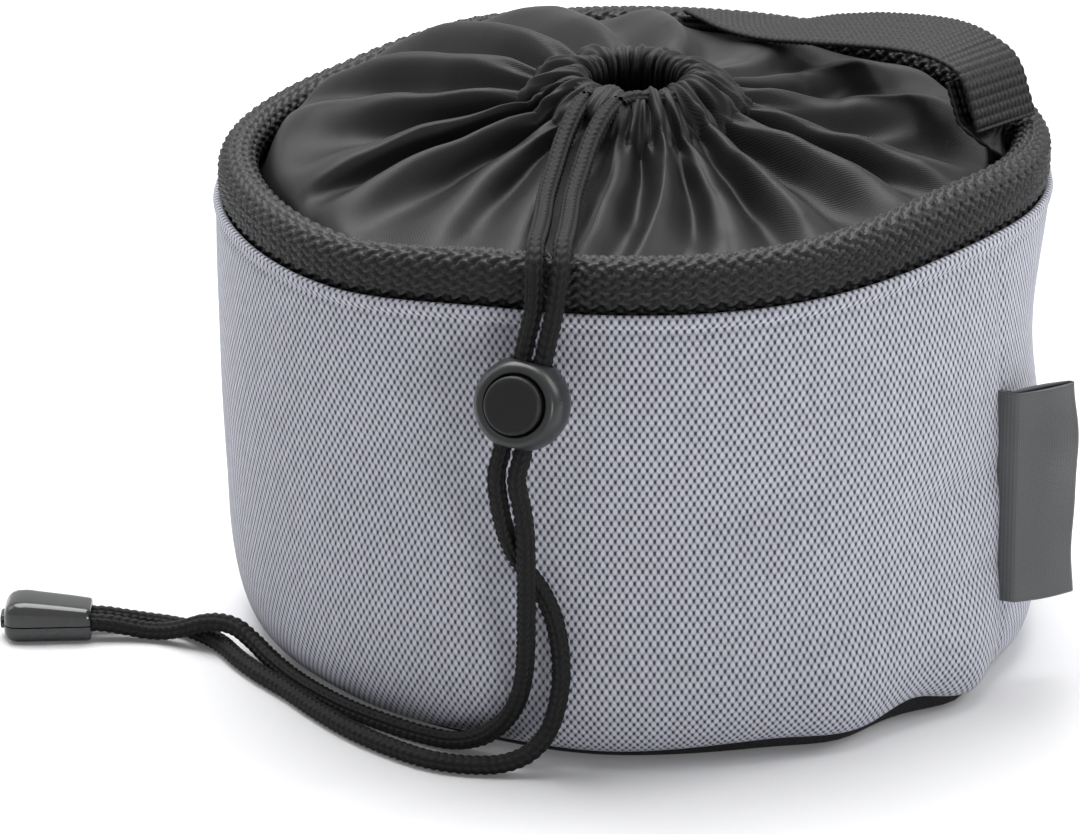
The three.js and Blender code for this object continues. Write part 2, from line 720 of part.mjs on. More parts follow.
function strapStations() {
  const run = strapBend.clone().sub(strapStart);
  const runAcross = new THREE.Vector3(-run.y, run.x, 0).normalize();
  const stations = [];
  const steps = 12;
  for (let i = 0; i < steps; i++) {
    const share = (i / steps) * 0.97;
    const at = strapStart.clone().addScaledVector(run, share);
    at.z = strapStart.z + run.z * THREE.MathUtils.smoothstep(share, 0, 1);
    const across = rootAcross.clone().lerp(runAcross, THREE.MathUtils.smoothstep(share, 0, 0.3));
    across.lerp(flapAcross, THREE.MathUtils.smoothstep(share, 0.6, 1)).normalize();
    stations.push({ at, across });
  }
  [0, 2, flapLength].forEach((distance) => stations.push({ at: onFlap(distance), across: flapAcross }));
  return stations;
}

function addStrap(group) {
  const rootTop = strapStart.z - strapThickness / 2 - seamGap;
  const rootEnds = [rimTop - strapRootDepth, rootTop];
  const root = rootEnds.map((z) => ({ at: strapStart.clone().setZ(z), across: rootAcross }));
  add(group, 'strap_root', ribbon(root, strapWidth, strapThickness), blackWebbing);
  add(group, 'hanging_strap', ribbon(strapStations(), strapWidth, strapThickness), blackWebbing);

  const patchWidth = strapWidth - 2 * patchMargin;
  const hookDepth = (strapThickness + patchThickness) / 2 + seamGap;
  const loopDepth = hookDepth + patchThickness + seamGap;
  const tabDepth = loopDepth + (strapThickness + patchThickness) / 2 + seamGap;
  const behindFlap = (depth, distance) => ({
    at: onFlap(distance).addScaledVector(flapFace, -depth),
    across: flapAcross,
  });
  const patchLow = flapLength - tabTurn - patchMargin;
  const patchEnds = [patchLow - patchLength, patchLow];
  const hook = patchEnds.map((distance) => behindFlap(hookDepth, distance));
  const loop = patchEnds.map((distance) => behindFlap(loopDepth, distance));
  add(group, 'strap_hook_patch', ribbon(hook, patchWidth, patchThickness), hookTape);
  add(group, 'tab_loop_patch', ribbon(loop, patchWidth, patchThickness), hookTape);

  const tabAcross = polar(tabRootAngle + Math.PI / 2, 1, 0);
  const tabRoot = polar(tabRootAngle, rootRadius, rimTop - strapRootDepth);
  const tab = [
    { at: tabRoot, across: tabAcross },
    { at: polar(tabRootAngle, rootRadius - strapThickness, rimTop - strapRootDepth / 2), across: tabAcross },
    behindFlap(tabDepth, flapLength - tabTurn),
    behindFlap(tabDepth, patchEnds[1]),
    behindFlap(tabDepth, patchEnds[0]),
  ];
  add(group, 'strap_tab', ribbon(tab, strapWidth, strapThickness), blackWebbing);
}

// Label: a loop of tape, round at the fold and at the sewn end
function labelLoop() {
  const outer = labelTape + labelGap / 2;
  const inner = labelGap / 2;
  const straight = labelLength - 2 * outer;
  const stadium = (radius, direction) => {
    const sewn = arc(0, 0, radius, Math.PI / 2, 1.5 * Math.PI, 6);
    const fold = arc(straight, 0, radius, -Math.PI / 2, Math.PI / 2, 6);
    const points = [...sewn, ...fold].map(([x, y]) => new THREE.Vector2(x, y));
    return direction > 0 ? points : points.reverse();
  };
  const shape = new THREE.Shape(stadium(outer, 1));
  shape.holes.push(new THREE.Path(stadium(inner, -1)));
  return new THREE.ExtrudeGeometry(shape, { depth: labelHeight, bevelEnabled: false });
}

function addLabel(group) {
  const wall = Math.max(bellyRadius, wallOuterRadius(labelBottom), wallOuterRadius(labelBottom + labelHeight));
  const root = polar(labelAngle, wall + seamGap + labelTape + labelGap / 2, labelBottom);
  const label = new THREE.Group();
  label.position.copy(root);
  label.rotation.z = labelHeading;
  add(label, 'label', labelLoop(), labelGrey);
  group.add(label);
}

const bag = new THREE.Group();
add(bag, 'side_wall', sideWall(), greyMesh);
add(bag, 'side_lining', sideLining(), blackLining);
addBase(bag);
add(bag, 'rim_binding', rimBinding(), blackWebbing);
add(bag, 'rim_hoop', rimHoop(), hoopPlastic);
add(bag, 'collar', collar(), blackTwill);
addDrawcord(bag);
addLock(bag);
addClip(bag);
addStrap(bag);
addLabel(bag);

export default bag;
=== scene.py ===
import math

import bmesh
import bpy
import numpy as np
from mathutils import Matrix, Vector


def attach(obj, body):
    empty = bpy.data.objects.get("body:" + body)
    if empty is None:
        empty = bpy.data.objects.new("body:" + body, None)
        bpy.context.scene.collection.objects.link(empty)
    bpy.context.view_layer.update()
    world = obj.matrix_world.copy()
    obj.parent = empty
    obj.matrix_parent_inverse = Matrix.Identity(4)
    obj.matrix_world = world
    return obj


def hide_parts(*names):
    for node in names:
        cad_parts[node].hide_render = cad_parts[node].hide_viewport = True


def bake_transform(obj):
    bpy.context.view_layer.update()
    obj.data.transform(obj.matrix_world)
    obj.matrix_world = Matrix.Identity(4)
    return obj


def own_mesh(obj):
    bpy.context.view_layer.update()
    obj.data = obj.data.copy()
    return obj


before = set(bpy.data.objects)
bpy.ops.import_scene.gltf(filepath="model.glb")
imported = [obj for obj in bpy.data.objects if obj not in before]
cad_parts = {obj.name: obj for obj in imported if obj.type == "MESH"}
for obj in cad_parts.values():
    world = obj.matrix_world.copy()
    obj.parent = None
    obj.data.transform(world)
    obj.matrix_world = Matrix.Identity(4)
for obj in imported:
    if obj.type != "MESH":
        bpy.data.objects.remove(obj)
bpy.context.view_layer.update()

MM = 0.001


# Camera and studio
# The camera stands a metre and a half off and looks a little down on the front of the bag.
# Broad soft lamps light it from the left, the right, the front and above, over a white floor.
def placed(name, data):
    """A new object in the scene, with its mesh, lamp or camera."""
    made = bpy.data.objects.new(name, data)
    bpy.context.scene.collection.objects.link(made)
    return made


camera = placed("camera", bpy.data.cameras.new("camera"))
camera.data.sensor_fit = "HORIZONTAL"
camera.data.sensor_width = 36
camera.data.lens = 231.66
camera.location = (-0.0219, -1.4967, 0.6129)
camera.rotation_euler = (math.radians(69.294), 0, 0)
bpy.context.scene.camera = camera
bpy.context.scene.view_settings.view_transform = "Standard"
lamp_target = Vector((0, 0, 0.06))


def soft_lamp(name, location, size, power):
    lamp = placed(name, bpy.data.lights.new(name, "AREA"))
    lamp.data.shape = "SQUARE"
    lamp.data.size = size
    lamp.data.energy = power
    lamp.location = location
    lamp.rotation_euler = (lamp_target - Vector(location)).to_track_quat("-Z", "Y").to_euler()


soft_lamp("lamp_left", (-1.1, 0.3, 0.8), size=0.8, power=4.2)
soft_lamp("lamp_right", (1.1, 0.25, 0.8), size=0.8, power=8.5)
soft_lamp("lamp_above", (-0.1, 0.36, 1.2), size=1.1, power=27)
soft_lamp("lamp_front", (0.85, -1.62, 0.22), size=0.4, power=8.9)


def feed(tree, socket, value):
    """Links an output to a socket, or sets the socket to a plain value."""
    if hasattr(value, "is_linked"):
        tree.links.new(value, socket)
    else:
        socket.default_value = value


def sums(tree, operation, first, second=0.0):
    made = tree.nodes.new("ShaderNodeMath")
    made.operation = operation
    for socket, value in zip(made.inputs, (first, second)):
        feed(tree, socket, value)
    return made.outputs[0]


def shown_white(tree):
    """One where the camera, a reflection or clear plastic sees the surface, and none for its light."""
    rays = tree.nodes.new("ShaderNodeLightPath").outputs
    seen = sums(tree, "MAXIMUM", rays["Is Camera Ray"], rays["Is Glossy Ray"])
    return sums(tree, "MAXIMUM", seen, rays["Is Transmission Ray"])


def show_mix(tree, share, lit, glowing, output):
    mix = tree.nodes.new("ShaderNodeMixShader")
    for socket, value in zip(mix.inputs, (share, lit.outputs[0], glowing.outputs[0])):
        tree.links.new(value, socket)
    tree.links.new(mix.outputs[0], tree.nodes[output].inputs[0])


white = (1, 1, 1, 1)
sky_strength = 0.06
floor_glow_share = 0.06
floor_half = 6

world = bpy.data.worlds.new("studio")
bpy.context.scene.world = world
world.use_nodes = True
sky_tree = world.node_tree
sky = sky_tree.nodes["Background"]
sky.inputs["Color"].default_value = white
sky.inputs["Strength"].default_value = sky_strength
backdrop = sky_tree.nodes.new("ShaderNodeBackground")
backdrop.inputs["Color"].default_value = white
show_mix(sky_tree, shown_white(sky_tree), sky, backdrop, "World Output")

floor_paint = bpy.data.materials.new("floor_white")
floor_paint.use_nodes = True
floor_tree = floor_paint.node_tree
floor_matt = floor_tree.nodes["Principled BSDF"]
floor_matt.inputs["Base Color"].default_value = (0.92, 0.92, 0.93, 1)
floor_matt.inputs["Roughness"].default_value = 0.9
floor_glow = floor_tree.nodes.new("ShaderNodeEmission")
floor_glow.inputs["Color"].default_value = white
glow_share = sums(floor_tree, "MULTIPLY", shown_white(floor_tree), floor_glow_share)
show_mix(floor_tree, glow_share, floor_matt, floor_glow, "Material Output")

floor_corners = [(x * floor_half, y * floor_half, 0) for x, y in ((-1, -1), (1, -1), (1, 1), (-1, 1))]
floor_mesh = bpy.data.meshes.new("floor")
floor_mesh.from_pydata(floor_corners, [], [(0, 1, 2, 3)])
floor_mesh.materials.append(floor_paint)
placed("floor", floor_mesh)


# Drawcord
# One black braided cord: its loop runs in the hem of the mouth and its two strands come out side by side,
# go over the rim and through the lock, hang down the front and lie on the floor to the clip on their ends.
cord_radius = 2.1
cord_columns = 8
braid_pitch = 1.9
cord_sides = 40
cord_step = 0.3
braid_hollow = 0.42
braid_relief = 0.52
lock_middle = np.array([-25.5304, -102.3968, 89.0])
lock_across = np.array([0.93253, -0.33381, -0.1377])
lock_inward = np.array([0.2889, 0.91848, -0.27005])
lock_up = np.array([0.21662, 0.21205, 0.95295])
strand_spacing = 4.7
straight_heights = [20, 14, 7, 0, -7, -12, -16.5]
left_start = [(-12.09, -19.43, 130.0)]
left_over_collar = [
    (-14, -26.5, 129.4), (-16.6, -36, 126.4), (-18.8, -48, 123.2), (-20.6, -60, 121), (-21.4, -72, 120),
    (-22.2, -83, 120.3), (-22.8, -90, 120.5), (-23, -95, 117.8),
]
left_below_lock = [
    (-30.6, -104.4, 66), (-29.4, -102.6, 59.6), (-27.6, -100.4, 54), (-25, -98.2, 48.8),
    (-21.7, -96.9, 43.4), (-19.2, -96.5, 37.5), (-17.7, -96.5, 30.5), (-17.3, -96.6, 23),
    (-18.2, -97, 16), (-20.4, -97.4, 9.8), (-24.4, -97.6, 5.2), (-30, -97.6, 2.8), (-37, -97, 2.2),
    (-45.4, -94.4, 2.2), (-54.4, -87.6, 2.2), (-63.6, -77.8, 2.2), (-71.6, -66.6, 2.2),
    (-78.8, -54.8, 2.2), (-85.8, -44.6, 2.2), (-90.8, -35.9, 2.2), (-94.4, -28.4, 2.2),
    (-98.4, -22.8, 2.2), (-102.8, -18.6, 2.2), (-107.4, -16, 2.2), (-112.4, -14.9, 2.5),
    (-117.5, -14.8, 3.3), (-122.3, -14.85, 4.05), (-128, -14.85, 4.2), (-134.7, -14.85, 4.2),
]
right_start = [(-5.48, -22.51, 130.0)]
right_over_collar = [
    (-7.8, -29.5, 129.4), (-10.7, -38, 126.4), (-13, -49, 123.2), (-14.8, -60, 121), (-15.6, -72, 120),
    (-16.3, -83, 120.3), (-16.9, -90.5, 120.5), (-17.4, -95.5, 117.8),
]
right_below_lock = [
    (-25.8, -105.8, 66), (-25.1, -104.9, 59.6), (-24.9, -103.6, 51), (-24.9, -101.2, 41),
    (-25, -98.4, 31), (-25.5, -95.8, 22.5), (-27, -93.6, 15.6), (-30, -91, 9.8), (-34.6, -88, 5.2),
    (-40.6, -84.6, 2.7), (-48.6, -79.6, 2.2), (-56.6, -73.2, 2.2), (-64.8, -65.3, 2.2),
    (-72.2, -55.9, 2.2), (-78.4, -46.4, 2.3), (-83.4, -38.6, 3.4), (-87.4, -33, 5.2), (-91.2, -29.5, 7),
    (-95.2, -27.2, 7.3), (-99.2, -25.3, 6.3), (-103.4, -23.4, 4.3), (-107.8, -21.4, 2.8),
    (-112.5, -20.1, 2.5), (-117.5, -19.6, 3.3), (-122.3, -19.55, 4.05), (-128, -19.55, 4.2),
    (-134.7, -19.55, 4.2),
]


def run_along(line):
    """The length of a line from its start to each of its points."""
    return np.concatenate([[0], np.cumsum(np.linalg.norm(np.diff(line, axis=0), axis=1))])


def smooth_line(points, step):
    """A smooth line through given points, as points an even step apart, in millimetres."""
    points = np.array(points, float)
    ends = [2 * points[0] - points[1], 2 * points[-1] - points[-2]]
    knots = np.vstack([ends[0], points, ends[1]])
    dense = []
    for a, b, c, d in zip(knots, knots[1:], knots[2:], knots[3:]):
        t1 = np.linalg.norm(b - a) ** 0.5
        t2 = t1 + np.linalg.norm(c - b) ** 0.5
        t3 = t2 + np.linalg.norm(d - c) ** 0.5
        t = np.linspace(t1, t2, 40, endpoint=False)[:, None]
        ab = (t1 - t) / t1 * a + t / t1 * b
        bc = (t2 - t) / (t2 - t1) * b + (t - t1) / (t2 - t1) * c
        cd = (t3 - t) / (t3 - t2) * c + (t - t2) / (t3 - t2) * d
        abc = (t2 - t) / t2 * ab + t / t2 * bc
        bcd = (t3 - t) / (t3 - t1) * bc + (t - t1) / (t3 - t1) * cd
        dense.append((t2 - t) / (t2 - t1) * abc + (t - t1) / (t2 - t1) * bcd)
    dense = np.vstack(dense + [points[-1:]])
    run = run_along(dense)
    even = np.linspace(0, run[-1], max(2, round(run[-1] / step)) + 1)
    return np.stack([np.interp(even, run, dense[:, k]) for k in range(3)], axis=1)


def unit(vectors):
    return vectors / np.linalg.norm(vectors, axis=-1, keepdims=True)


def round_angles(count):
    return np.linspace(0, 2 * math.pi, count, endpoint=False)


def frames_along(line):
    """Two directions square to a line at each of its points, that turn as little as they can."""
    along = unit(np.gradient(line, axis=0))
    side = np.empty_like(along)
    side[0] = unit(np.cross(along[0], (0.1, 0.2, 1)))
    for i in range(1, len(line)):
        side[i] = unit(side[i - 1] - np.dot(side[i - 1], along[i]) * along[i])
    return side, np.cross(along, side)


def tube_grid(line, angle, radius):
    """Rings of points round a line, at the given angles and distance from it."""
    side, up = frames_along(line)
    ring = np.cos(angle)[None, :, None] * side[:, None] + np.sin(angle)[None, :, None] * up[:, None]
    return line[:, None] + np.broadcast_to(radius, ring.shape[:2])[..., None] * ring


def places(rows, columns):
    """The place in the weave of each point of a grid, from a value for each row and each column."""
    return np.stack(np.broadcast_arrays(rows[:, None], columns[None, :]), axis=-1)


def smooth_faces(mesh):
    mesh.polygons.foreach_set("use_smooth", np.ones(len(mesh.polygons), bool))


def surface(name, grid, uv=None, loops_u=False, loops_v=False, relief=None):
    """A smooth mesh from a grid of points in millimetres, with their places in the weave and their relief."""
    rows, columns = grid.shape[:2]
    if uv is None:
        uv = np.zeros((rows + 1, columns + 1, 2))
    i = np.arange(rows if loops_u else rows - 1)[:, None]
    j = np.arange(columns if loops_v else columns - 1)[None, :]
    corners = [(i, j), (i + 1, j), (i + 1, j + 1), (i, j + 1)]
    faces = np.stack([(a % rows) * columns + b % columns for a, b in corners], axis=-1).reshape(-1, 4)
    at_corners = np.stack([uv[a + 0 * b, b + 0 * a] for a, b in corners], axis=-2).reshape(-1, 2)
    mesh = bpy.data.meshes.new(name)
    mesh.from_pydata((grid.reshape(-1, 3) * MM).tolist(), [], faces.tolist())
    mesh.uv_layers.new(name="weave").data.foreach_set("uv", at_corners.astype(np.float32).ravel())
    smooth_faces(mesh)
    if relief is not None:
        layer = mesh.attributes.new("relief", "FLOAT", "POINT")
        layer.data.foreach_set("value", relief.astype(np.float32).ravel())
    return placed(name, mesh)


def braided_tube(name, line, thickness=cord_radius):
    """A round cord with the slanting yarns of its braid raised in columns round it."""
    run = np.arange(len(line)) * np.linalg.norm(line[1] - line[0])
    angle = round_angles(cord_sides)
    column = angle / (2 * math.pi) * cord_columns
    across = column % 1
    slant = np.where(np.floor(column) % 2 == 0, across, 1 - across)
    phase = run[:, None] / braid_pitch + 0.75 * slant[None, :]
    crest = np.abs(np.sin(math.pi * phase)) ** 0.6 * np.sqrt(np.sin(math.pi * across))[None, :]
    grid = tube_grid(line, angle, thickness - braid_hollow + braid_relief * crest)
    uv = places(run, np.linspace(0, 1, cord_sides + 1))[..., ::-1]
    return surface(name, grid, uv, loops_v=True, relief=crest)


def node(tree, kind, **inputs):
    made = tree.nodes.new(kind)
    for key, value in inputs.items():
        feed(tree, made.inputs[key.replace("_", " ")], value)
    return made


def times(tree, first, second):
    return sums(tree, "MULTIPLY", first, second)


def plus(tree, first, second):
    return sums(tree, "ADD", first, second)


def mixed(tree, first, first_share, second, second_share):
    return plus(tree, times(tree, first, first_share), times(tree, second, second_share))


def speckle(tree, scale, detail, roughness=0.5):
    """Fine cloudy noise that is fixed to the piece."""
    position = tree.nodes.new("ShaderNodeTexCoord").outputs["Object"]
    noise = node(tree, "ShaderNodeTexNoise", Vector=position, Scale=scale, Detail=detail, Roughness=roughness)
    return noise.outputs[0]


def colours(tree, amount, *stops):
    ramp = tree.nodes.new("ShaderNodeValToRGB")
    tree.links.new(amount, ramp.inputs[0])
    while len(ramp.color_ramp.elements) < len(stops):
        ramp.color_ramp.elements.new(0.5)
    for element, (position, colour) in zip(ramp.color_ramp.elements, stops):
        element.position = position
        element.color = (*colour, 1)
    return ramp.outputs[0]


def new_finish(name, roughness, shine, sheen=0.0):
    finish = bpy.data.materials.new(name)
    finish.use_nodes = True
    shader = finish.node_tree.nodes["Principled BSDF"]
    shader.inputs["Roughness"].default_value = roughness
    shader.inputs["Specular IOR Level"].default_value = shine
    shader.inputs["Sheen Weight"].default_value = sheen
    shader.inputs["Sheen Roughness"].default_value = 0.4
    return finish, finish.node_tree, shader


def paint(tree, shader, tone, *stops):
    tree.links.new(colours(tree, tone, *stops), shader.inputs["Base Color"])


def emboss(tree, shader, height, strength, distance):
    bump = node(tree, "ShaderNodeBump", Height=height, Strength=strength, Distance=distance)
    tree.links.new(bump.outputs[0], shader.inputs["Normal"])


def yarn_finish_shaded_hollows(name, dark, light, roughness, fibre_scale):
    """Black yarn: painted shade darkens the hollows of its relief, with fine broken fibres along it."""
    finish, tree, shader = new_finish(name, roughness, shine=0.2)
    relief = tree.nodes.new("ShaderNodeAttribute")
    relief.attribute_name = "relief"
    fibre = speckle(tree, fibre_scale, detail=4.0, roughness=0.65)
    # Painted shade: the lower the relief, the darker the yarn, so the hollows between the yarns are shaded in
    # the colour.
    tone = mixed(tree, relief.outputs["Fac"], 0.65, fibre, 0.35)
    paint(tree, shader, tone, (0.3, dark), (0.85, light))
    emboss(tree, shader, fibre, strength=0.35, distance=0.0002)
    return finish


def dress(piece, finish, body, cad_node):
    """Gives a piece its finish and the body it moves with, and hides the CAD node that it stands for."""
    piece.data.materials.clear()
    piece.data.materials.append(finish)
    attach(piece, body)
    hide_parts(cad_node)


def strand_line(side, start, over_collar, below_lock):
    in_lock = [lock_middle + side * strand_spacing / 2 * lock_across + h * lock_up for h in straight_heights]
    return smooth_line(start + over_collar + in_lock + below_lock, cord_step)


left_line = strand_line(-1, left_start, left_over_collar, left_below_lock)
right_line = strand_line(1, right_start, right_over_collar, right_below_lock)
left_strand = braided_tube("drawcord_left_braid", left_line)
right_strand = braided_tube("drawcord_right_braid", right_line)


# The loop in the hem: a ring whose two ends turn out, to leave side by side
def arc_points(x, y, radius, start, stop, count):
    angle = np.linspace(start, stop, count)
    return np.stack([x + radius * np.cos(angle), y + radius * np.sin(angle)], axis=1)


mouth_middle = np.array([-0.3, -4.0])
mouth_radius = 14.5
exit_degrees = -115
exit_angle = math.radians(exit_degrees)
exit_bend = 6.5
exit_room = 3.68
channel_height = 129.98
loop_drop = 1.3
loop_across = strand_spacing / 2 + exit_room - cord_radius + exit_bend
loop_out = math.sqrt((mouth_radius + exit_bend) ** 2 - loop_across ** 2)
loop_spread = math.asin(loop_across / (mouth_radius + exit_bend))
loop_flat = np.vstack([
    arc_points(loop_out, loop_across, exit_bend, -math.pi / 2, loop_spread - math.pi, 8),
    arc_points(0, 0, mouth_radius, loop_spread, 2 * math.pi - loop_spread, 40)[1:-1],
    arc_points(loop_out, -loop_across, exit_bend, math.pi - loop_spread, math.pi / 2, 8),
])
exit_cos, exit_sin = math.cos(exit_angle), math.sin(exit_angle)
loop_plan = loop_flat @ np.array([[exit_cos, exit_sin], [-exit_sin, exit_cos]]) + mouth_middle
loop_turn = np.angle(np.exp(1j * (np.arctan2(*(loop_plan - mouth_middle).T[::-1]) - exit_angle)))
loop_height = channel_height - loop_drop * np.clip(np.abs(loop_turn) / math.radians(50) - 0.6, 0, 1)
loop_line = smooth_line(np.column_stack([loop_plan, loop_height]), cord_step)
loop_strand = braided_tube("drawcord_loop_braid", loop_line)

braid_finish = yarn_finish_shaded_hollows(
    "black_braid", (0.0005, 0.0005, 0.0006), (0.0055, 0.0055, 0.006), roughness=0.62, fibre_scale=2600)
dress(left_strand, braid_finish, "bag", "drawcord_left")
dress(right_strand, braid_finish, "bag", "drawcord_right")
dress(loop_strand, braid_finish, "bag", "drawcord_loop")


# Side wall
# A band of coarse grey mesh cloth, sewn up at the right, hemmed at the top and turned under at the base.
# It is soft, so it dents at the right under the label's seam and leans in a little at the front right.
rim_radius = 95.0
wall_height = 106.0
belly_radius = 93.8
belly_height = 30.0
foot_radius = 84.0
wall_thickness = 1.4
weave_columns = 341
weave_row = 1.4
# Slack at the top and the foot: each millimetres, then its middle and width round the bag in degrees
top_lean = [(-4.2, -38, 24)]
top_corners = [(1.6, -137, 18), (-1.6, 150, 20)]
top_lift = [(1.6, -38, 26)]
foot_lift = [(2.0, -68, 42), (2.6, -47, 6), (0.8, -150, 30)]
foot_spread = [
    (4.2, -68, 42), (1.6, -97, 12), (3.4, -61, 7), (5.4, -38, 7), (2.4, -18, 14), (1.5, 60, 12),
    (2.0, 130, 16),
]
# Dents, a crease and a swell of the side, each with its middle and width in height as well
side_dents = [
    (-4.5, 2, 20, 72, 22), (-2.6, -126, 13, 58, 22), (-1.3, -40, 12, 52, 4), (-1.5, -73, 8, 60, 8),
    (0.9, 175, 40, 80, 35),
]
left_drop = 2.8
# The slack begins at this radius and is whole after this run outwards
slack_start = 30
slack_run = 55
seam_angle = -29.6
seam_depth = 0.5


def hump(value, middle, width):
    return np.exp(-((value - middle) / width) ** 2)


def turn_from(angle, middle):
    return np.degrees(np.angle(np.exp(1j * (angle - math.radians(middle)))))


def eased(share):
    share = np.clip(share, 0, 1)
    return share * share * (3 - 2 * share)


def bulges(angle, rows):
    return sum(size * hump(turn_from(angle, middle), 0, width) for size, middle, width in rows)


def settle(points):
    """The bag's slack: where the cloth stands in or out of the round shape that it was sewn to."""
    x, y, z = points[..., 0], points[..., 1], points[..., 2]
    angle = np.arctan2(y, x)
    share = np.clip((np.hypot(x, y) - slack_start) / slack_run, 0, 1)
    up = np.clip(z / wall_height, 0, 1.2)
    dents = sum(bulges(angle, [dent[:3]]) * hump(z, *dent[3:]) for dent in side_dents)
    waves = 0.55 * np.sin(3 * angle + 0.05 * z) + 0.45 * np.sin(7 * angle - 0.08 * z + 1.3)
    seam = -seam_depth * hump(turn_from(angle, seam_angle), 0, 0.9) * (z < 100)
    top = bulges(angle, top_lean) * up ** 3 + bulges(angle, top_corners) * up ** 2
    foot = bulges(angle, foot_spread) * np.clip(1 - z / 30, 0, 1)
    moved = (dents + waves * hump(z, 55, 38) + seam + top + foot) * share
    degrees = np.degrees(angle) % 360
    left = eased((252 - degrees) / 28) * eased((degrees - 110) / 32)
    loose = 0.8 + bulges(angle, foot_lift) + 0.3 * np.sin(9 * angle)
    lift = bulges(angle, top_lift) * up ** 4 - left_drop * left * up ** 3
    lift = lift + loose * np.clip(1 - z / 16, 0, 1) ** 1.5
    result = points.copy()
    result[..., 0] += moved * np.cos(angle)
    result[..., 1] += moved * np.sin(angle)
    result[..., 2] += lift * share
    return result


def turned_grid(profile, count):
    """Points of a profile of radius and height, turned about the bag's axis."""
    angle = round_angles(count)[:, None]
    radius, height = np.array(profile).T
    return np.stack(np.broadcast_arrays(np.cos(angle) * radius, np.sin(angle) * radius, height), axis=-1)


def wall_profile(inset, top, steps=14):
    angle = np.linspace(math.pi / 2, 0, steps)
    turn_under = np.column_stack([
        foot_radius + (belly_radius - foot_radius - inset) * np.cos(angle),
        belly_height - (belly_height - inset) * np.sin(angle)])
    heights = np.arange(belly_height + 2, top, 2)
    slope = (rim_radius - belly_radius) / (wall_height - belly_height)
    side = np.column_stack([belly_radius - inset + slope * (heights - belly_height), heights])
    return np.vstack([turn_under, side])


wall_turns = 420
wall_hem = [
    (94.95, 101.2), (94.8, 102.0), (94.65, 102.5), (95.0, 103.0), (95.5, 103.8), (95.65, 104.7),
    (95.5, 105.5), (95.0, 106.0), (94.3, 106.1), (93.7, 105.6), (93.45, 104.5), (93.4, 102.5),
    (93.4, 100.5),
]
wall_line = np.vstack([wall_profile(0, 101), wall_hem, wall_profile(wall_thickness, 100)[::-1]])
wall_grid = settle(turned_grid(wall_line, wall_turns))
wall_uv = places(np.linspace(0, weave_columns, wall_turns + 1), run_along(wall_line) / weave_row)
side_wall = surface("side_wall_mesh_cloth", wall_grid, wall_uv, loops_u=True)


def weave_place(tree):
    """The place of a point in the weave: across its columns and along its rows."""
    place = tree.nodes.new("ShaderNodeUVMap")
    place.uv_map = "weave"
    split = node(tree, "ShaderNodeSeparateXYZ", Vector=place.outputs[0])
    return split.outputs[0], split.outputs[1]


def fade(tree, value, start, stop):
    """One below start, none above stop, and smooth between them."""
    made = node(
        tree, "ShaderNodeMapRange", Value=value, From_Min=start, From_Max=stop, To_Min=1.0, To_Max=0.0)
    made.interpolation_type = "SMOOTHSTEP"
    return made.outputs[0]


def from_half(tree, value):
    return sums(tree, "ABSOLUTE", sums(tree, "SUBTRACT", value, 0.5))


mesh_cloth, tree, shader = new_finish("grey_mesh_cloth", roughness=0.65, shine=0.35, sheen=0.04)
columns, rows = weave_place(tree)
brick = times(tree, sums(tree, "MODULO", sums(tree, "FLOOR", rows), 2.0), 0.5)
along = sums(tree, "FRACT", plus(tree, columns, brick))
height = sums(tree, "FRACT", rows)
across_hole = from_half(tree, along)
hole_taper = plus(tree, times(tree, height, 0.6), 0.7)
from_hole = sums(tree, "DIVIDE", across_hole, hole_taper)
from_row = from_half(tree, height)
hole = times(tree, fade(tree, from_hole, 0.08, 0.23), fade(tree, from_row, 0.14, 0.44))
# Painted light and shade: each yarn is painted lighter on its crown and darker towards the edges of its row.
# The holes are dark where the black lining shows through them.
crown = plus(tree, times(tree, across_hole, 0.8), 0.46)
yarns = sums(tree, "ABSOLUTE", sums(tree, "SINE", times(tree, along, 3 * math.pi)))
shaded_yarn = plus(tree, times(tree, yarns, 0.12), crown)
row_crown = sums(tree, "SUBTRACT", 1.1, times(tree, from_row, 0.55))
relief = times(tree, times(tree, shaded_yarn, row_crown), sums(tree, "SUBTRACT", 1.0, hole))
slub = sums(tree, "SUBTRACT", speckle(tree, scale=420.0, detail=3.0), 0.5)
tone = plus(tree, relief, times(tree, slub, 0.3))
dark_hole, half_tone, pale_yarn = (0.04, 0.042, 0.056), (0.25, 0.255, 0.3), (0.55, 0.558, 0.632)
paint(tree, shader, tone, (0.08, dark_hole), (0.45, half_tone), (0.9, pale_yarn))
emboss(tree, shader, relief, strength=0.8, distance=0.0004)
dress(side_wall, mesh_cloth, "bag", "side_wall")


# Lining and base
# Thin black cloth lines the wall and the base, a stiff board lies under it, and the base panel is the cloth
# that the bag stands on. They are sewn together round the foot.
def plain_weave_finish(name, dark, light, roughness, scale):
    finish, tree, shader = new_finish(name, roughness, shine=0.25, sheen=0.02)
    position = tree.nodes.new("ShaderNodeTexCoord").outputs["Object"]
    weave = node(tree, "ShaderNodeTexVoronoi", Vector=position, Scale=scale).outputs["Distance"]
    tone = mixed(tree, weave, 0.5, speckle(tree, scale=35.0, detail=5.0), 0.5)
    paint(tree, shader, tone, (0.2, dark), (0.8, light))
    emboss(tree, shader, weave, strength=0.5, distance=0.0002)
    return finish


lining_top = 88
lining_step = [
    (92.4, 91), (90.0, 95), (87.3, 98.5), (87.2, 103.4), (86.8, 103.4), (86.7, 98.2), (89.3, 94.6),
    (91.7, 90.6),
]
lining_line = np.vstack([wall_profile(1.75, lining_top), lining_step, wall_profile(2.3, lining_top)[::-1]])
lining_cloth = plain_weave_finish(
    "black_lining_cloth", (0.006, 0.006, 0.007), (0.018, 0.018, 0.020), roughness=0.75, scale=1500)
side_lining = surface("side_lining_cloth", settle(turned_grid(lining_line, 180)), loops_u=True)
dress(side_lining, lining_cloth, "bag", "side_lining")


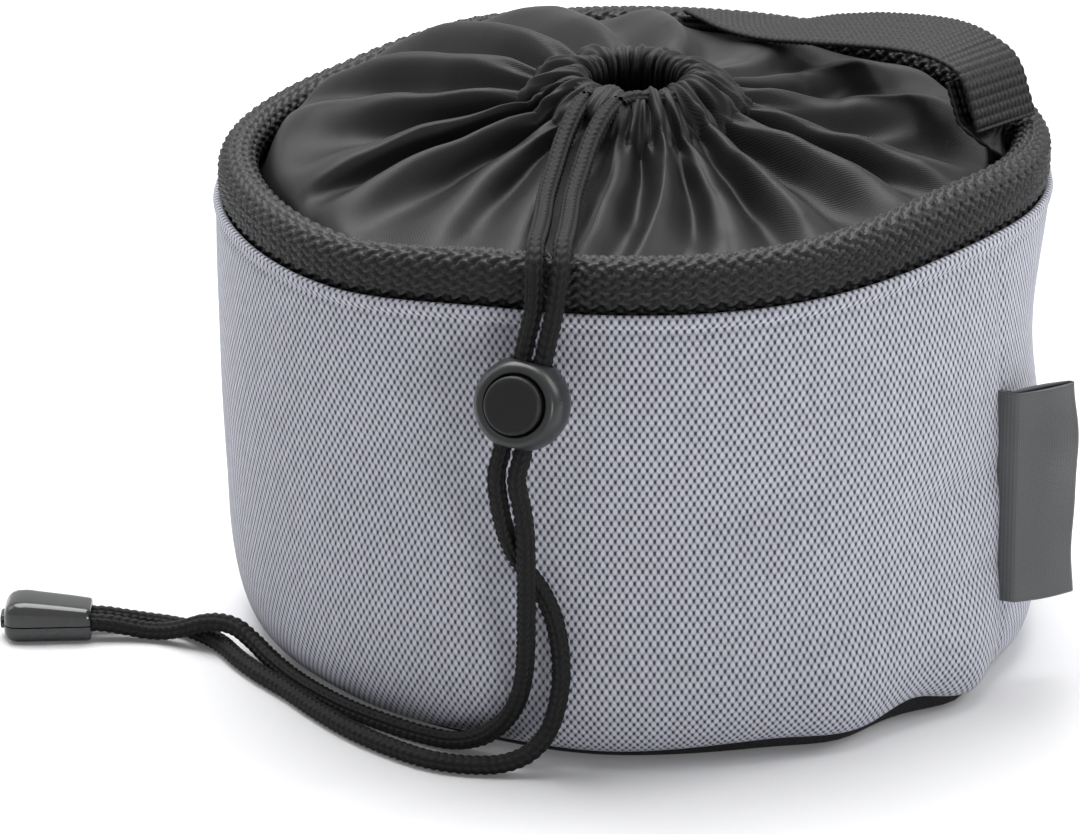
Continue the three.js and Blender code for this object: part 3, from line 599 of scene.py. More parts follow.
def cloth_disc(name, radius, low, thickness, turned_up):
    """A round of cloth with its edge turned up where it is sewn to the foot of the wall."""
    edge = [
        (0.01, low), (radius * 0.5, low), (radius - 2.6, low), (radius - 0.8, low + 0.3), (radius, low + 1.2),
        (radius, low + turned_up), (radius - 0.5, low + turned_up), (radius - thickness, low + thickness),
        (radius * 0.5, low + thickness), (0.01, low + thickness),
    ]
    grid = turned_grid(edge, 160)
    grid[..., :2] = settle(grid)[..., :2]
    return surface(name, grid, loops_u=True)


base_cloth = plain_weave_finish(
    "black_base_cloth", (0.005, 0.005, 0.006), (0.016, 0.016, 0.018), roughness=0.8, scale=1100)
base_panel = cloth_disc("base_panel_cloth", radius=83.9, low=0.0, thickness=1.4, turned_up=4.6)
dress(base_panel, base_cloth, "bag", "base_panel")
base_lining = cloth_disc("base_lining_cloth", radius=80.7, low=4.05, thickness=0.6, turned_up=1.4)
dress(base_lining, lining_cloth, "bag", "base_lining")
board_finish = plain_weave_finish(
    "grey_board", (0.05, 0.05, 0.052), (0.075, 0.075, 0.078), roughness=0.6, scale=300)
base_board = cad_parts["base_board"]
base_board.data.materials.clear()
base_board.data.materials.append(board_finish)


# Rim binding
# Coarse black webbing folded double over a plastic hoop, with its two edges sewn inside the top of the wall.
# Its thick yarns slant one way and the other from row to row and stand out from the surface.
hoop_radius, hoop_height = 90.1, 113.3
hoop_section = arc_points(hoop_radius, hoop_height, 2.3, 0, 2 * math.pi, 25)[:-1]
hoop = surface("rim_hoop_tube", settle(turned_grid(hoop_section, 200)), loops_u=True, loops_v=True)
hoop_finish = plain_weave_finish(
    "black_hoop_plastic", (0.014, 0.014, 0.015), (0.022, 0.022, 0.024), roughness=0.45, scale=200)
dress(hoop, hoop_finish, "bag", "rim_hoop")

rim_turns = 1904
rim_columns = 136
rim_row = 1.2
rim_step = 0.48
rim_sunk = 0.55
rim_outer_leg = [(93.1, 101.2), (93.15, 104), (93.1, 106.2), (93.9, 107.3), (94.35, 109.2)]
rim_crown = arc_points(hoop_radius, hoop_height, 4.3, math.radians(-12), math.radians(192), 30)
rim_inner_leg = [(86.6, 109.6), (88.6, 107.0), (89.4, 105.5), (89.4, 101.2)]


def smooth_section(points, step):
    """A smooth line through points of radius and height."""
    return smooth_line(np.column_stack([points, np.zeros(len(points))]), step)[:, :2]


rim_line = smooth_section(np.vstack([rim_outer_leg, rim_crown, rim_inner_leg]), rim_step)
rim_u = np.linspace(0, rim_columns, rim_turns + 1)
rim_v = np.arange(len(rim_line)) * rim_step / rim_row
rim_column = rim_u[:-1, None]
rim_wave = rim_v[None, :] + 0.28 * np.sin(2 * math.pi * rim_column)
float_phase = rim_column + 0.5 * (np.floor(rim_wave) % 2) + 0.04 * np.sin(rim_column * 1.7)
yarn_float = 0.5 + 0.5 * np.cos(2 * math.pi * float_phase)
rim_relief = (0.25 + 0.75 * yarn_float ** 0.8) * np.abs(np.sin(math.pi * rim_wave)) ** 0.55
rim_out = unit(np.column_stack([np.gradient(rim_line[:, 1]), -np.gradient(rim_line[:, 0])]))
rim_raised = (rim_relief - rim_sunk)[..., None] * turned_grid(rim_out, rim_turns)
rim_grid = settle(turned_grid(rim_line, rim_turns) + rim_raised)
rim_binding = surface("rim_binding_webbing", rim_grid, places(rim_u, rim_v), loops_u=True, relief=rim_relief)
webbing_finish = yarn_finish_shaded_hollows(
    "black_webbing", (0.0008, 0.0008, 0.001), (0.032, 0.032, 0.034), roughness=0.38, fibre_scale=1900)
dress(rim_binding, webbing_finish, "bag", "rim_binding")


# Collar
# A tube of fine black twill sewn inside the rim. The drawcord gathers its top to the mouth, so it lies in
# deep folds from the rim to the mouth, slack and high at the back left, taut and low at the front right.
fold_depth = 8.5
fold_lean = 3.5
fold_start = 84
fold_run = 64
pleat_height = 0.8
slub_height = 0.6
billow_height = 6
puff_angle = math.radians(140)
columns_per_fold = 56
collar_step = 0.8
collar_thickness = 0.4
twill_width = 530
# Each main fold: the angles of its crest at the mouth and at the rim, in degrees, and how far it stands up
collar_folds = [
    (28, 12, 0.8), (45, 36, 0.6), (58, 62, 0.2), (70, 90, 1.2), (94, 110, 0.9), (117, 137, 1.2),
    (147, 157, 1.1), (184, 172, 1.0), (195, 202, 1.0), (206, 212, 0.9), (220, 235, 0.7), (238, 249, 0.5),
    (262, 258, 0.4), (285, 267, 1.25), (298, 284, 0.4), (311, 301, 1.15), (337, 326, 1.1),
    (358, 342, 0.9),
]
# Radius, and the height there of the slack side and of the taut side
collar_line = [
    (88.9, 101.2, 101.2), (88.8, 104.5, 104.5), (86.2, 106.5, 106.3), (84.6, 110.5, 107.0),
    (83.6, 114.5, 107.4), (82.4, 118.0, 108.0), (80.5, 121.0, 108.7), (77.0, 122.8, 109.6),
    (70.0, 124.6, 111.2), (60.0, 126.0, 113.2), (48.0, 126.4, 116.0), (36.0, 126.0, 119.2),
    (28.0, 125.4, 121.8), (22.0, 124.4, 123.4), (18.0, 122.0, 122.0),
]
collar_stations = smooth_line(collar_line, collar_step)
fold_phase = np.arange(len(collar_folds) * columns_per_fold) / columns_per_fold


def along_folds(values, turn=0.0):
    """A value of each fold, run evenly from crest to crest round the collar."""
    values = np.array(values, float)
    return np.interp(fold_phase, np.arange(len(values) + 1), np.append(values, values[0] + turn))


crests_at_mouth, crests_at_rim, crest_heights = zip(*collar_folds)
mouth_angle = np.radians(along_folds(crests_at_mouth, 360))
sewn_angle = np.radians(along_folds(crests_at_rim, 360))
fold_height = along_folds(crest_heights)
collar_grid = np.empty((len(fold_phase), len(collar_stations), 3))
for k, (radius, slack, taut) in enumerate(collar_stations):
    share = np.clip((fold_start - radius) / fold_run, 0, 1)
    angle = sewn_angle + (mouth_angle - sewn_angle) * share
    crest = (0.5 + 0.5 * np.cos(2 * math.pi * fold_phase)) ** np.interp(share, [0, 0.4, 1], [1.25, 1.0, 0.75])
    depth_share = np.interp(share, [0, 0.03, 0.1, 0.25, 0.5, 0.8, 1], [0, 0.1, 0.4, 0.75, 1, 0.85, 0.4])
    pleats = np.sin(46 * angle + 1.4 * np.sin(5 * angle) + 2 * share) * np.clip(share * 4 - 2.7, 0, 1)
    slub = np.sin(19 * angle + 11 * share) * np.sin(7 * angle - 8 * share + 1) * np.clip(share * 5, 0, 1)
    rise = fold_depth * depth_share * fold_height * (crest - 0.5) + pleat_height * pleats + slub_height * slub
    sideways = -fold_lean * np.cos(angle) * crest * np.interp(share, [0, 0.15, 0.6, 1], [0, 0.7, 1, 0.3])
    turned = angle + sideways / radius
    puffed = (0.5 + 0.5 * np.cos(turned - puff_angle)) ** 1.7
    billow_share = np.interp(share, [0, 0.06, 0.3, 0.55], [0, 0.9, 0.8, 0])
    billow = bulges(turned, [(billow_height, 26, 26)]) * billow_share
    offset = mouth_middle * np.clip(share * 1.15 - 0.1, 0, 1) ** 1.5
    collar_grid[:, k, 0] = radius * np.cos(turned) + offset[0]
    collar_grid[:, k, 1] = radius * np.sin(turned) + offset[1]
    collar_grid[:, k, 2] = taut + (slack - taut) * puffed + rise + billow


def clear_under(grid, line, reach, gap):
    """Lowers the points of a grid that would stand into a line's underside, seen in plan."""
    flat = grid.reshape(-1, 3)
    near = line[::6]
    low, high = near[:, :2].min(0) - reach - 12, near[:, :2].max(0) + reach + 12
    close = np.flatnonzero(((flat[:, :2] > low) & (flat[:, :2] < high)).all(axis=1))
    apart = np.linalg.norm(flat[close, None, :2] - near[None, :, :2], axis=2)
    nearest = apart.argmin(axis=1)
    spare = np.maximum(apart[np.arange(len(close)), nearest] - reach, 0)
    flat[close, 2] = np.minimum(flat[close, 2], near[nearest, 2] - gap + 0.7 * spare)
    return flat.reshape(grid.shape)


for line in (left_line, right_line):
    over_collar = line[np.linalg.norm(line[:, :2], axis=1) < 88]
    over_collar = over_collar[over_collar[:, 2] > 117]
    collar_grid = clear_under(collar_grid, over_collar, reach=2.0, gap=2.6)
strap_middle = [(21.74, 81.14, 118.8), (35.69, 62, 120.9), (58.94, 30.1, 128.93), (74.3, 9, 132.7)]
collar_grid = clear_under(collar_grid, smooth_line(strap_middle, step=0.5), reach=11.5, gap=1.6)
collar_grid = settle(collar_grid)
collar_uv = places(
    np.linspace(0, twill_width, len(fold_phase) + 1), np.arange(len(collar_stations)) * collar_step)
collar = surface("collar_twill", collar_grid, collar_uv, loops_u=True)
cloth = collar.modifiers.new("cloth", "SOLIDIFY")
cloth.thickness = collar_thickness * MM
cloth.offset = -1


def ribs(tree, place, pitch):
    return sums(tree, "SINE", times(tree, place, 2 * math.pi / pitch))


twill, tree, shader = new_finish("black_twill", roughness=0.42, shine=0.16)
columns, rows = weave_place(tree)
diagonal = plus(tree, columns, times(tree, rows, 0.8))
relief = plus(tree, mixed(tree, ribs(tree, diagonal, 0.75), 0.35, ribs(tree, rows, 0.4), 0.15), 0.5)
# The diagonal ribs are the weave. Their colour is painted shade, darker in the grooves between them where the
# relief is low.
tone = mixed(tree, relief, 0.6, speckle(tree, scale=60.0, detail=6.0), 0.5)
paint(tree, shader, tone, (0.2, (0.006, 0.006, 0.0065)), (0.9, (0.019, 0.019, 0.020)))
emboss(tree, shader, relief, strength=0.35, distance=0.0001)
dress(collar, twill, "bag", "collar")


# Cord channel
# The hem of the collar round the mouth, a casing that the cord runs in. Drawn up on the cord it lies as a
# ring of soft pinched lobes, sewn down along its outer edge and hooded over the place where the cord leaves.
hem_turns = 1104
hem_step = 0.8
hem_edge = 25.8
lobe_height = 2.6
lobe_sunk = 1.1
hem_section = [
    (25.8, 124.3), (25.2, 125.3), (23.6, 126.6), (21, 128.4), (18, 130.2), (15.4, 131.3), (13, 131.4),
    (11.5, 130.2), (10.8, 127.4), (10.8, 123.5), (11.6, 120.2), (14.5, 118.8), (19, 119.6), (23.5, 121.6),
    (25.6, 123.3), (25.8, 124.3),
]
# Degrees of the creases between the lobes, and how far each lobe swells
hem_creases = np.array([
    2, 19, 36, 52, 65, 79, 94, 110, 125, 141, 159, 176, 190, 202, 215, 229, 261, 276, 291, 305, 318, 331, 347,
])
lobe_swell = np.array([
    0.9, 1.1, 0.7, 1.0, 0.8, 1.2, 0.9, 1.1, 0.8, 1.2, 0.9, 1.1, 0.7, 1.0, 0.9, 1.1, 0.8, 1.2, 0.8, 1.0, 0.9,
    1.1, 0.8,
])
hem_line = smooth_section(hem_section, hem_step)[:-1]
hem_radius, hem_height = hem_line.T
hem_out = np.roll(hem_line, -1, axis=0) - np.roll(hem_line, 1, axis=0)
hem_out = unit(np.column_stack([hem_out[:, 1], -hem_out[:, 0]]))
hem_angle = round_angles(hem_turns)[:, None]


def collar_height(reach, angle):
    """Height of the collar's cloth at a distance from the middle of the mouth."""
    plan = collar_grid[..., :2] - mouth_middle
    nearest = np.abs(np.hypot(plan[..., 0], plan[..., 1]) - reach).argmin(axis=1)
    row = np.arange(len(collar_grid))
    there = np.arctan2(plan[row, nearest, 1], plan[row, nearest, 0])
    order = np.argsort(there)
    return np.interp(angle, there[order], collar_grid[row, nearest, 2][order], period=2 * math.pi)


hem_slant = 5 * np.sin(0.25 * hem_radius) * np.sin(3 * hem_angle + 0.5)
hem_degrees = (np.degrees(hem_angle) + hem_slant - hem_creases[0]) % 360
hem_marks = np.append(hem_creases, hem_creases[0] + 360) - hem_creases[0]
hem_phase = np.interp(hem_degrees, hem_marks, np.arange(len(hem_marks)))
swell = lobe_swell[np.floor(hem_phase).astype(int) % len(lobe_swell)]
lobe = np.abs(np.sin(math.pi * hem_phase)) ** 0.6
lobe_share = np.interp(hem_radius, [11, 14, 22, 25.5], [0.75, 1, 0.8, 0.35])
lobe_share = lobe_share * np.clip((hem_height - 120) / 8, 0, 1)
stitched = 0.6 * hump(hem_radius, 24.6, 0.7) * (hem_height > 124)
puckers = 0.2 * np.sin(67 * hem_angle + 0.7 * hem_radius)
hem_push = (lobe_height * swell * lobe - lobe_sunk) * lobe_share - stitched + puckers
hood = hump(turn_from(hem_angle, exit_degrees), 0, 14) * hump(hem_height, 129.5, 2.6) * (hem_radius > 14)
follows = np.clip((hem_radius - 14) / 11.5, 0, 1)
dropped = (collar_height(hem_edge, hem_angle) - 124.5) * follows
hem_reach = hem_radius + hem_push * hem_out[:, 0] + 3.2 * hood + 0.5 * np.sin(4 * hem_angle + 1)
tipped = 0.5 * np.sin(hem_angle)
hem_grid = np.stack([
    mouth_middle[0] + hem_reach * np.cos(hem_angle),
    mouth_middle[1] + hem_reach * np.sin(hem_angle),
    hem_height + 0.85 * hem_push * hem_out[:, 1] + 1.2 * hood + dropped + tipped], axis=-1)
hem_uv = places(np.linspace(0, 400, hem_turns + 1), np.linspace(0, 36, len(hem_line) + 1))
cord_channel = surface("cord_channel_hem", hem_grid, hem_uv, loops_u=True, loops_v=True)
dress(cord_channel, twill, "bag", "cord_channel")


# Cord lock
# A moulded ball of satin dark plastic with flats where the cords go through it, and a round push button that
# a spring inside it holds out against the cords.
strand_clearance = 0.3
tiny = 1e-7


def lathe_piece(name, profile, segments=96):
    """A solid turned about the lock's button, which looks along the lock's own -Y."""
    grid = turned_grid(profile, segments)
    grid = np.stack([grid[..., 0], -grid[..., 2], grid[..., 1]], axis=-1)
    piece = surface(name, grid, loops_u=True)
    solid = bmesh.new()
    solid.from_mesh(piece.data)
    bmesh.ops.remove_doubles(solid, verts=solid.verts, dist=tiny)
    bmesh.ops.recalc_face_normals(solid, faces=solid.faces)
    solid.to_mesh(piece.data)
    solid.free()
    return piece


def shape_object(name, shape):
    """A new object from a shape under edit, with its faces turned outwards."""
    bmesh.ops.recalc_face_normals(shape, faces=shape.faces)
    mesh = bpy.data.meshes.new(name)
    shape.to_mesh(mesh)
    shape.free()
    return placed(name, mesh)


def stadium_prism(name, low, high, length):
    """Room for two strands side by side, its corners round them."""
    bore = cord_radius + strand_clearance
    half = strand_spacing / 2
    corners = [
        (half, high - bore, 0), (-half, high - bore, 90), (-half, low + bore, 180), (half, low + bore, 270),
    ]
    outline = np.vstack([
        arc_points(x, y, bore, math.radians(start), math.radians(start + 90), 9) for x, y, start in corners])
    shape = bmesh.new()
    bottom = [shape.verts.new(Vector((x, y, -length / 2)) * MM) for x, y in outline]
    lifted = bmesh.ops.extrude_face_region(shape, geom=[shape.faces.new(bottom)])
    top = [v for v in lifted["geom"] if isinstance(v, bmesh.types.BMVert)]
    bmesh.ops.translate(shape, verts=top, vec=(0, 0, length * MM))
    bmesh.ops.remove_doubles(shape, verts=shape.verts, dist=tiny)
    return shape_object(name, shape)


def block(name, low, high):
    shape = bmesh.new()
    bmesh.ops.create_cube(shape, size=1)
    size = Vector(high) - Vector(low)
    middle = (Vector(high) + Vector(low)) / 2
    bmesh.ops.transform(shape, matrix=Matrix.Diagonal((*(size * MM), 1)), verts=shape.verts)
    bmesh.ops.translate(shape, verts=shape.verts, vec=middle * MM)
    return shape_object(name, shape)


def settle_modifiers(piece):
    """Makes a piece's modifiers part of its mesh."""
    shape = piece.evaluated_get(bpy.context.evaluated_depsgraph_get())
    made = bpy.data.meshes.new_from_object(shape)
    piece.modifiers.clear()
    piece.data = made


def soften_edges(piece, width, segments, sharpest=None):
    """Rounds a piece's edges, or only those that are sharper than an angle in degrees."""
    soften = piece.modifiers.new("edges", "BEVEL")
    soften.width = width * MM
    soften.segments = segments
    if sharpest is not None:
        soften.limit_method = "ANGLE"
        soften.angle_limit = math.radians(sharpest)
    settle_modifiers(piece)


def smooth_below(piece, degrees):
    smooth_faces(piece.data)
    piece.data.set_sharp_from_angle(angle=math.radians(degrees))


def cut_and_soften(piece, cutters, edge):
    for cutter in cutters:
        cut = piece.modifiers.new("cut", "BOOLEAN")
        cut.operation = "DIFFERENCE"
        cut.solver = "EXACT"
        cut.object = cutter
    settle_modifiers(piece)
    for cutter in cutters:
        bpy.data.objects.remove(cutter)
    soften_edges(piece, edge, segments=3, sharpest=38)
    smooth_below(piece, 35)


lock_axes = np.column_stack([lock_across, lock_inward, lock_up, lock_middle * MM])
lock_place = Matrix([*lock_axes.tolist(), (0, 0, 0, 1)])
lock_flat = 9.2
quarter = np.linspace(0, math.pi / 2, 25)
ball_back = np.column_stack([10.4 * np.cos(quarter), -9.2 * np.sin(quarter)])[::-1]
ball_front = np.column_stack([7.9 + 2.5 * np.cos(quarter), 6.6 * np.sin(quarter)])[1:]
ball_bore = [(7.1, 6.6), (6.75, 6.3), (6.7, 0), (6.7, -7.6), (0, -7.6)]
lock_ball = lathe_piece("lock_body_ball", np.vstack([ball_back, ball_front, ball_bore]))
cut_and_soften(lock_ball, [
    stadium_prism("cord_slot", low=-2.4, high=2.4, length=60),
    block("flat_above", (-30, -30, lock_flat), (30, 30, 30)),
    block("flat_below", (-30, -30, -30), (30, 30, -lock_flat)),
], edge=0.35)
button_profile = [
    (0, -3.1), (4.5, -3.1), (4.5, -4.1), (6.4, -4.1), (6.4, 7.9), (6.3, 8.3), (6.0, 8.6), (5.5, 8.75),
    (4.6, 8.72), (3.0, 8.62), (0, 8.55),
]
lock_push = lathe_piece("lock_button_plunger", button_profile)
cut_and_soften(lock_push, [stadium_prism("button_slot", low=-4.9, high=2.4, length=40)], edge=0.15)


def moulded_finish(name, colour, worn, roughness, shine, grain):
    """Moulded plastic: a fine sparked grain, a little lighter and smoother where it is handled."""
    finish, tree, shader = new_finish(name, roughness, shine)
    pits = speckle(tree, scale=2400.0, detail=2.0)
    cloud = speckle(tree, scale=90.0, detail=5.0)
    paint(tree, shader, cloud, (0.35, colour), (0.75, worn))
    gloss = plus(tree, times(tree, cloud, 0.16), roughness - 0.08)
    tree.links.new(gloss, shader.inputs["Roughness"])
    emboss(tree, shader, pits, strength=grain, distance=0.00008)
    return finish


lock_plastic = moulded_finish(
    "satin_lock_plastic", (0.013, 0.014, 0.015), (0.018, 0.019, 0.020),
    roughness=0.3, shine=0.4, grain=0.25)
button_plastic = moulded_finish(
    "satin_button_plastic", (0.004, 0.004, 0.005), (0.006, 0.006, 0.007),
    roughness=0.42, shine=0.25, grain=0.3)
lock_ball.data.transform(lock_place)
dress(lock_ball, lock_plastic, "cord_lock", "lock_body")
lock_push.data.transform(lock_place)
dress(lock_push, button_plastic, "lock_button", "lock_button")

spring_wire, tree, shader = new_finish("drawn_spring_wire", roughness=0.28, shine=0.5)
shader.inputs["Metallic"].default_value = 1.0
draw_marks = node(tree, "ShaderNodeTexNoise", Scale=1800.0, Detail=2.0).outputs[0]
paint(tree, shader, draw_marks, (0.3, (0.42, 0.43, 0.44)), (0.7, (0.6, 0.61, 0.62)))
spring_radius = 3.6
wire_radius = 0.2
spring_turns = 3
spring_deep, spring_shallow = 7.1, 3.6
coil_turn = np.linspace(0, 2 * math.pi * spring_turns, 24 * spring_turns + 1)
coil_line = smooth_line(np.column_stack([
    spring_radius * np.cos(coil_turn), np.linspace(spring_deep, spring_shallow, len(coil_turn)),
    spring_radius * np.sin(coil_turn)]), 0.25)
lock_spring = surface("lock_spring_coil", tube_grid(coil_line, round_angles(10), wire_radius), loops_v=True)
lock_spring.data.transform(lock_place)
dress(lock_spring, spring_wire, "cord_lock", "lock_spring")
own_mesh(lock_spring)


# Cord-end clip
# Two glossy half shells that shut on the cords and their knot, joined by a folded web at the closed end.
# It is wider and taller at that end and slopes down to where the cords come in.
clip_place = Vector((-135, -17.2, 0))
clip_parting = 4.2
clip_top = 9.8
clip_gap = 0.12
clip_sides = 25
lug_high = 1.45
# Along the clip from its closed end: half its width, and its share of the height above and below the parting
clip_stations = [
    (-10.0, 3.4, 0.42, 0.5), (-9.7, 4.6, 0.62, 0.7), (-9.1, 5.5, 0.8, 0.86), (-8.2, 6.05, 0.92, 0.95),
    (-7.0, 6.35, 0.98, 1.0), (-5.0, 6.4, 1.0, 1.0), (0.0, 6.05, 0.89, 1.0), (5.0, 5.75, 0.78, 1.0),
    (8.8, 5.52, 0.68, 1.0), (9.6, 5.4, 0.65, 0.97), (9.9, 5.2, 0.61, 0.92), (10.0, 5.0, 0.56, 0.85),
]


def clip_shell(name, is_upper):
    """One half shell, as sections across the clip from the closed end to the cord end."""
    rise = clip_top - clip_parting if is_upper else clip_parting
    side = 1 if is_upper else -1
    angle = np.linspace(0, math.pi, clip_sides)
    bulge = np.sign(np.cos(angle)) * np.abs(np.cos(angle)) ** 0.42
    arch = np.abs(np.sin(angle)) ** 0.5 * (rise - clip_gap)
    shape = bmesh.new()
    rings = []
    for x, wide, upper, lower in clip_stations:
        z = clip_parting + side * (clip_gap + arch * (upper if is_upper else lower))
        section = np.column_stack([np.full(clip_sides, x), wide * bulge, z])
        rings.append([shape.verts.new(Vector(point) * MM) for point in section])
    for near, far in zip(rings, rings[1:]):
        for k in range(clip_sides):
            after = (k + 1) % clip_sides
            shape.faces.new((near[k], near[after], far[after], far[k]))
    shape.faces.new(rings[0])
    shape.faces.new(rings[-1][::-1])
    return shape_object(name, shape)


def clip_half(name, is_upper):
    piece = clip_shell(name, is_upper)
    slot = stadium_prism("clip_slot", low=-2.4, high=2.4, length=20)
    for axis in ("X", "Z"):
        slot.data.transform(Matrix.Rotation(math.pi / 2, 4, axis))
    slot.data.transform(Matrix.Translation(Vector((10, 0, clip_parting)) * MM))
    room = block("knot_room", (-6, -4.9, 1.8), (0, 4.9, 7.6))
    cut_and_soften(piece, [slot, room], edge=0.12)
    lug_low = clip_parting + 0.15 if is_upper else clip_parting - 1.6
    lug = block("lug", (-10.9, -2.3, lug_low), (-9.4, 2.3, lug_low + lug_high))
    soften_edges(lug, width=0.4, segments=4)
    both = bmesh.new()
    both.from_mesh(piece.data)
    both.from_mesh(lug.data)
    both.to_mesh(piece.data)
    both.free()
    bpy.data.objects.remove(lug)
    smooth_below(piece, 40)
    piece.data.transform(Matrix.Translation(clip_place * MM))
    return piece


clip_plastic = moulded_finish(
    "gloss_clip_plastic", (0.012, 0.013, 0.014), (0.017, 0.018, 0.019),
    roughness=0.18, shine=0.55, grain=0.06)
clip_lower = clip_half("clip_lower_shell", False)
clip_upper = clip_half("clip_upper_shell", True)
dress(clip_lower, clip_plastic, "bag", "clip_lower_half")
dress(clip_upper, clip_plastic, "clip_upper", "clip_upper_half")


def close_ends(piece):
    """Fills the open ends of a tube or band."""
    ends = bmesh.new()
    ends.from_mesh(piece.data)
    bmesh.ops.holes_fill(ends, edges=[e for e in ends.edges if e.is_boundary])
    bmesh.ops.recalc_face_normals(ends, faces=ends.faces)
    ends.to_mesh(piece.data)
    ends.free()


web_outline = np.array([
    (-10.9, 2.9), (-10.95, 3.6), (-10.95, 4.2), (-10.95, 4.8), (-10.9, 5.5),
    (-10.45, 5.5), (-10.4, 4.8), (-10.4, 4.2), (-10.4, 3.6), (-10.45, 2.9),
])
web_middle = -10.67
web_across = np.array([-2.2, -1.9, 0, 1.9, 2.2])[:, None]
web_narrow = np.array([0.6, 1, 1, 1, 0.6])[:, None]
web_x = web_middle + (web_outline[:, 0] - web_middle) * web_narrow
web_grid = np.stack(np.broadcast_arrays(web_x, web_across, web_outline[:, 1]), axis=-1) + np.array(clip_place)
clip_web = surface("clip_web_strip", web_grid, loops_v=True)
close_ends(clip_web)
clip_web.data.materials.append(clip_plastic)
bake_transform(clip_web)

knot_radius = 1.25
knot_line = [(-3 + 1.5 * math.cos(2.4 * t), 2.9 * math.sin(1.2 * t), 4.65 + 0.9 * math.sin(2.4 * t))
             for t in np.linspace(0, 2 * math.pi / 1.2 * 0.96, 24)]
knot_path = smooth_line(np.array(knot_line) + np.array(clip_place), 0.25)
clip_knot = braided_tube("clip_knot_braid", knot_path, knot_radius)
dress(clip_knot, braid_finish, "bag", "clip_knot")


# Hanging strap
# Black webbing sewn inside the back of the rim. It runs across to the right, bends down there and is held
# shut on a short tab by hook-and-loop patches, so that it can be opened and closed round a clothes line.
strap_width = 20.0
strap_thickness = 1.6
webbing_step = 0.3
webbing_row = 2.2
webbing_yarn = 1.3
# Points along the middle of each band, with the direction across it there
root_across = (0.966, -0.259, 0)
flap_across = (0.702, 0.712, 0)
strap_stations = [
    ((21.74, 81.14, 118.80), root_across), ((26.39, 74.76, 119.06), (0.994, -0.114, 0)),
    ((31.04, 68.38, 119.9), (0.971, 0.237, 0.02)), ((35.69, 62.00, 121.4), (0.851, 0.525, 0.06)),
    ((40.34, 55.62, 123.3), (0.808, 0.589, 0.12)), ((49.64, 42.86, 127.2), (0.808, 0.589, 0.18)),
    ((58.94, 30.10, 130.6), (0.805, 0.594, 0.18)), ((67.0, 18.9, 133.0), (0.754, 0.657, 0.14)),
    ((72.2, 11.8, 133.6), (0.725, 0.689, 0.08)), ((76.0, 7.2, 132.9), (0.702, 0.712, 0.03)),
    ((79.0, 3.7, 131.4), flap_across), ((80.7, 1.3, 128.7), flap_across),
    ((82.0, -0.4, 124.4), flap_across), ((83.58, -2.04, 118.73), flap_across),
]
tab_stations = [
    ((84.0, 0.0, 109.6), (0, 1, 0)), ((82.4, 0.0, 113.6), (0, 1, 0)), ((79.4, 2.09, 120.04), flap_across),
    ((78.98, 2.5, 121.42), flap_across), ((76.75, 4.7, 128.78), flap_across),
]
root_stations = [((21.74, 81.14, height), root_across) for height in (109.6, 113.6, 117.7)]


def webbing(name, stations, width, thickness):
    """A woven band along its stations: cross rows of small raised yarns on both faces, and firm edges."""
    points, turns = zip(*stations)
    line = smooth_line(points, webbing_step)
    marks = run_along(points)
    share = np.linspace(0, 1, len(line))
    across = unit(np.stack([np.interp(share, marks / marks[-1], turn) for turn in zip(*turns)], axis=1))
    along = unit(np.gradient(line, axis=0))
    face = unit(np.cross(across, along))
    flat = np.linspace(-1, 1, 57)
    edge = np.clip((1 - np.abs(flat)) * width / 2 / 0.7, 0, 1)
    half = thickness / 2 * (0.35 + 0.65 * np.sqrt(edge * (2 - edge)))
    rows = np.arange(len(line))[:, None] * webbing_step / webbing_row
    yarn = flat[None, :] * width / 2 / webbing_yarn + 0.3 * (rows % 1)
    relief = np.abs(np.sin(math.pi * rows)) ** 0.6 * np.abs(np.sin(math.pi * yarn)) ** 0.5
    lift = (half[None, :] - 0.42 + 0.5 * relief)[..., None] * face[:, None]
    middle = line[:, None] + flat[None, :, None] * width / 2 * across[:, None]
    grid = np.concatenate([middle + lift, (middle - lift)[:, ::-1]], axis=1)
    for end in (0, -1):
        thinned = (grid[end] - line[end]) @ np.outer(across[end], across[end])
        grid[end] = grid[end] * 0.5 + line[end] * 0.5 + thinned * 0.5
    band = surface(name, grid, loops_v=True, relief=np.concatenate([relief, relief[:, ::-1]], axis=1))
    close_ends(band)
    return band


strap_finish = yarn_finish_shaded_hollows(
    "black_strap_webbing", (0.0008, 0.0008, 0.001), (0.012, 0.012, 0.013), roughness=0.5, fibre_scale=1900)
for name, stations, body, cad_node in (
        ("hanging_strap_webbing", strap_stations, "hanging_strap", "hanging_strap"),
        ("strap_tab_webbing", tab_stations, "bag", "strap_tab"),
        ("strap_root_webbing", root_stations, "bag", "strap_root")):
    band = webbing(name, stations, strap_width, strap_thickness)
    dress(band, strap_finish, body, cad_node)

patch_width = 17
patch_thickness = 1.2
hook_points = [(78.85, 2.63, 130.03), (79.96, 1.53, 126.35), (81.08, 0.43, 122.67)]
loop_points = [(77.87, 3.60, 129.45), (78.98, 2.5, 125.76), (80.09, 1.40, 122.08)]
patch_finish = yarn_finish_shaded_hollows(
    "black_hook_tape", (0.002, 0.002, 0.002), (0.016, 0.016, 0.017), roughness=0.7, fibre_scale=3200)
for name, points, body, cad_node in (
        ("strap_hook_patch_tape", hook_points, "hanging_strap", "strap_hook_patch"),
        ("tab_loop_patch_tape", loop_points, "bag", "tab_loop_patch")):
    patch = webbing(name, [(at, flap_across) for at in points], patch_width, patch_thickness)
    dress(patch, patch_finish, body, cad_node)


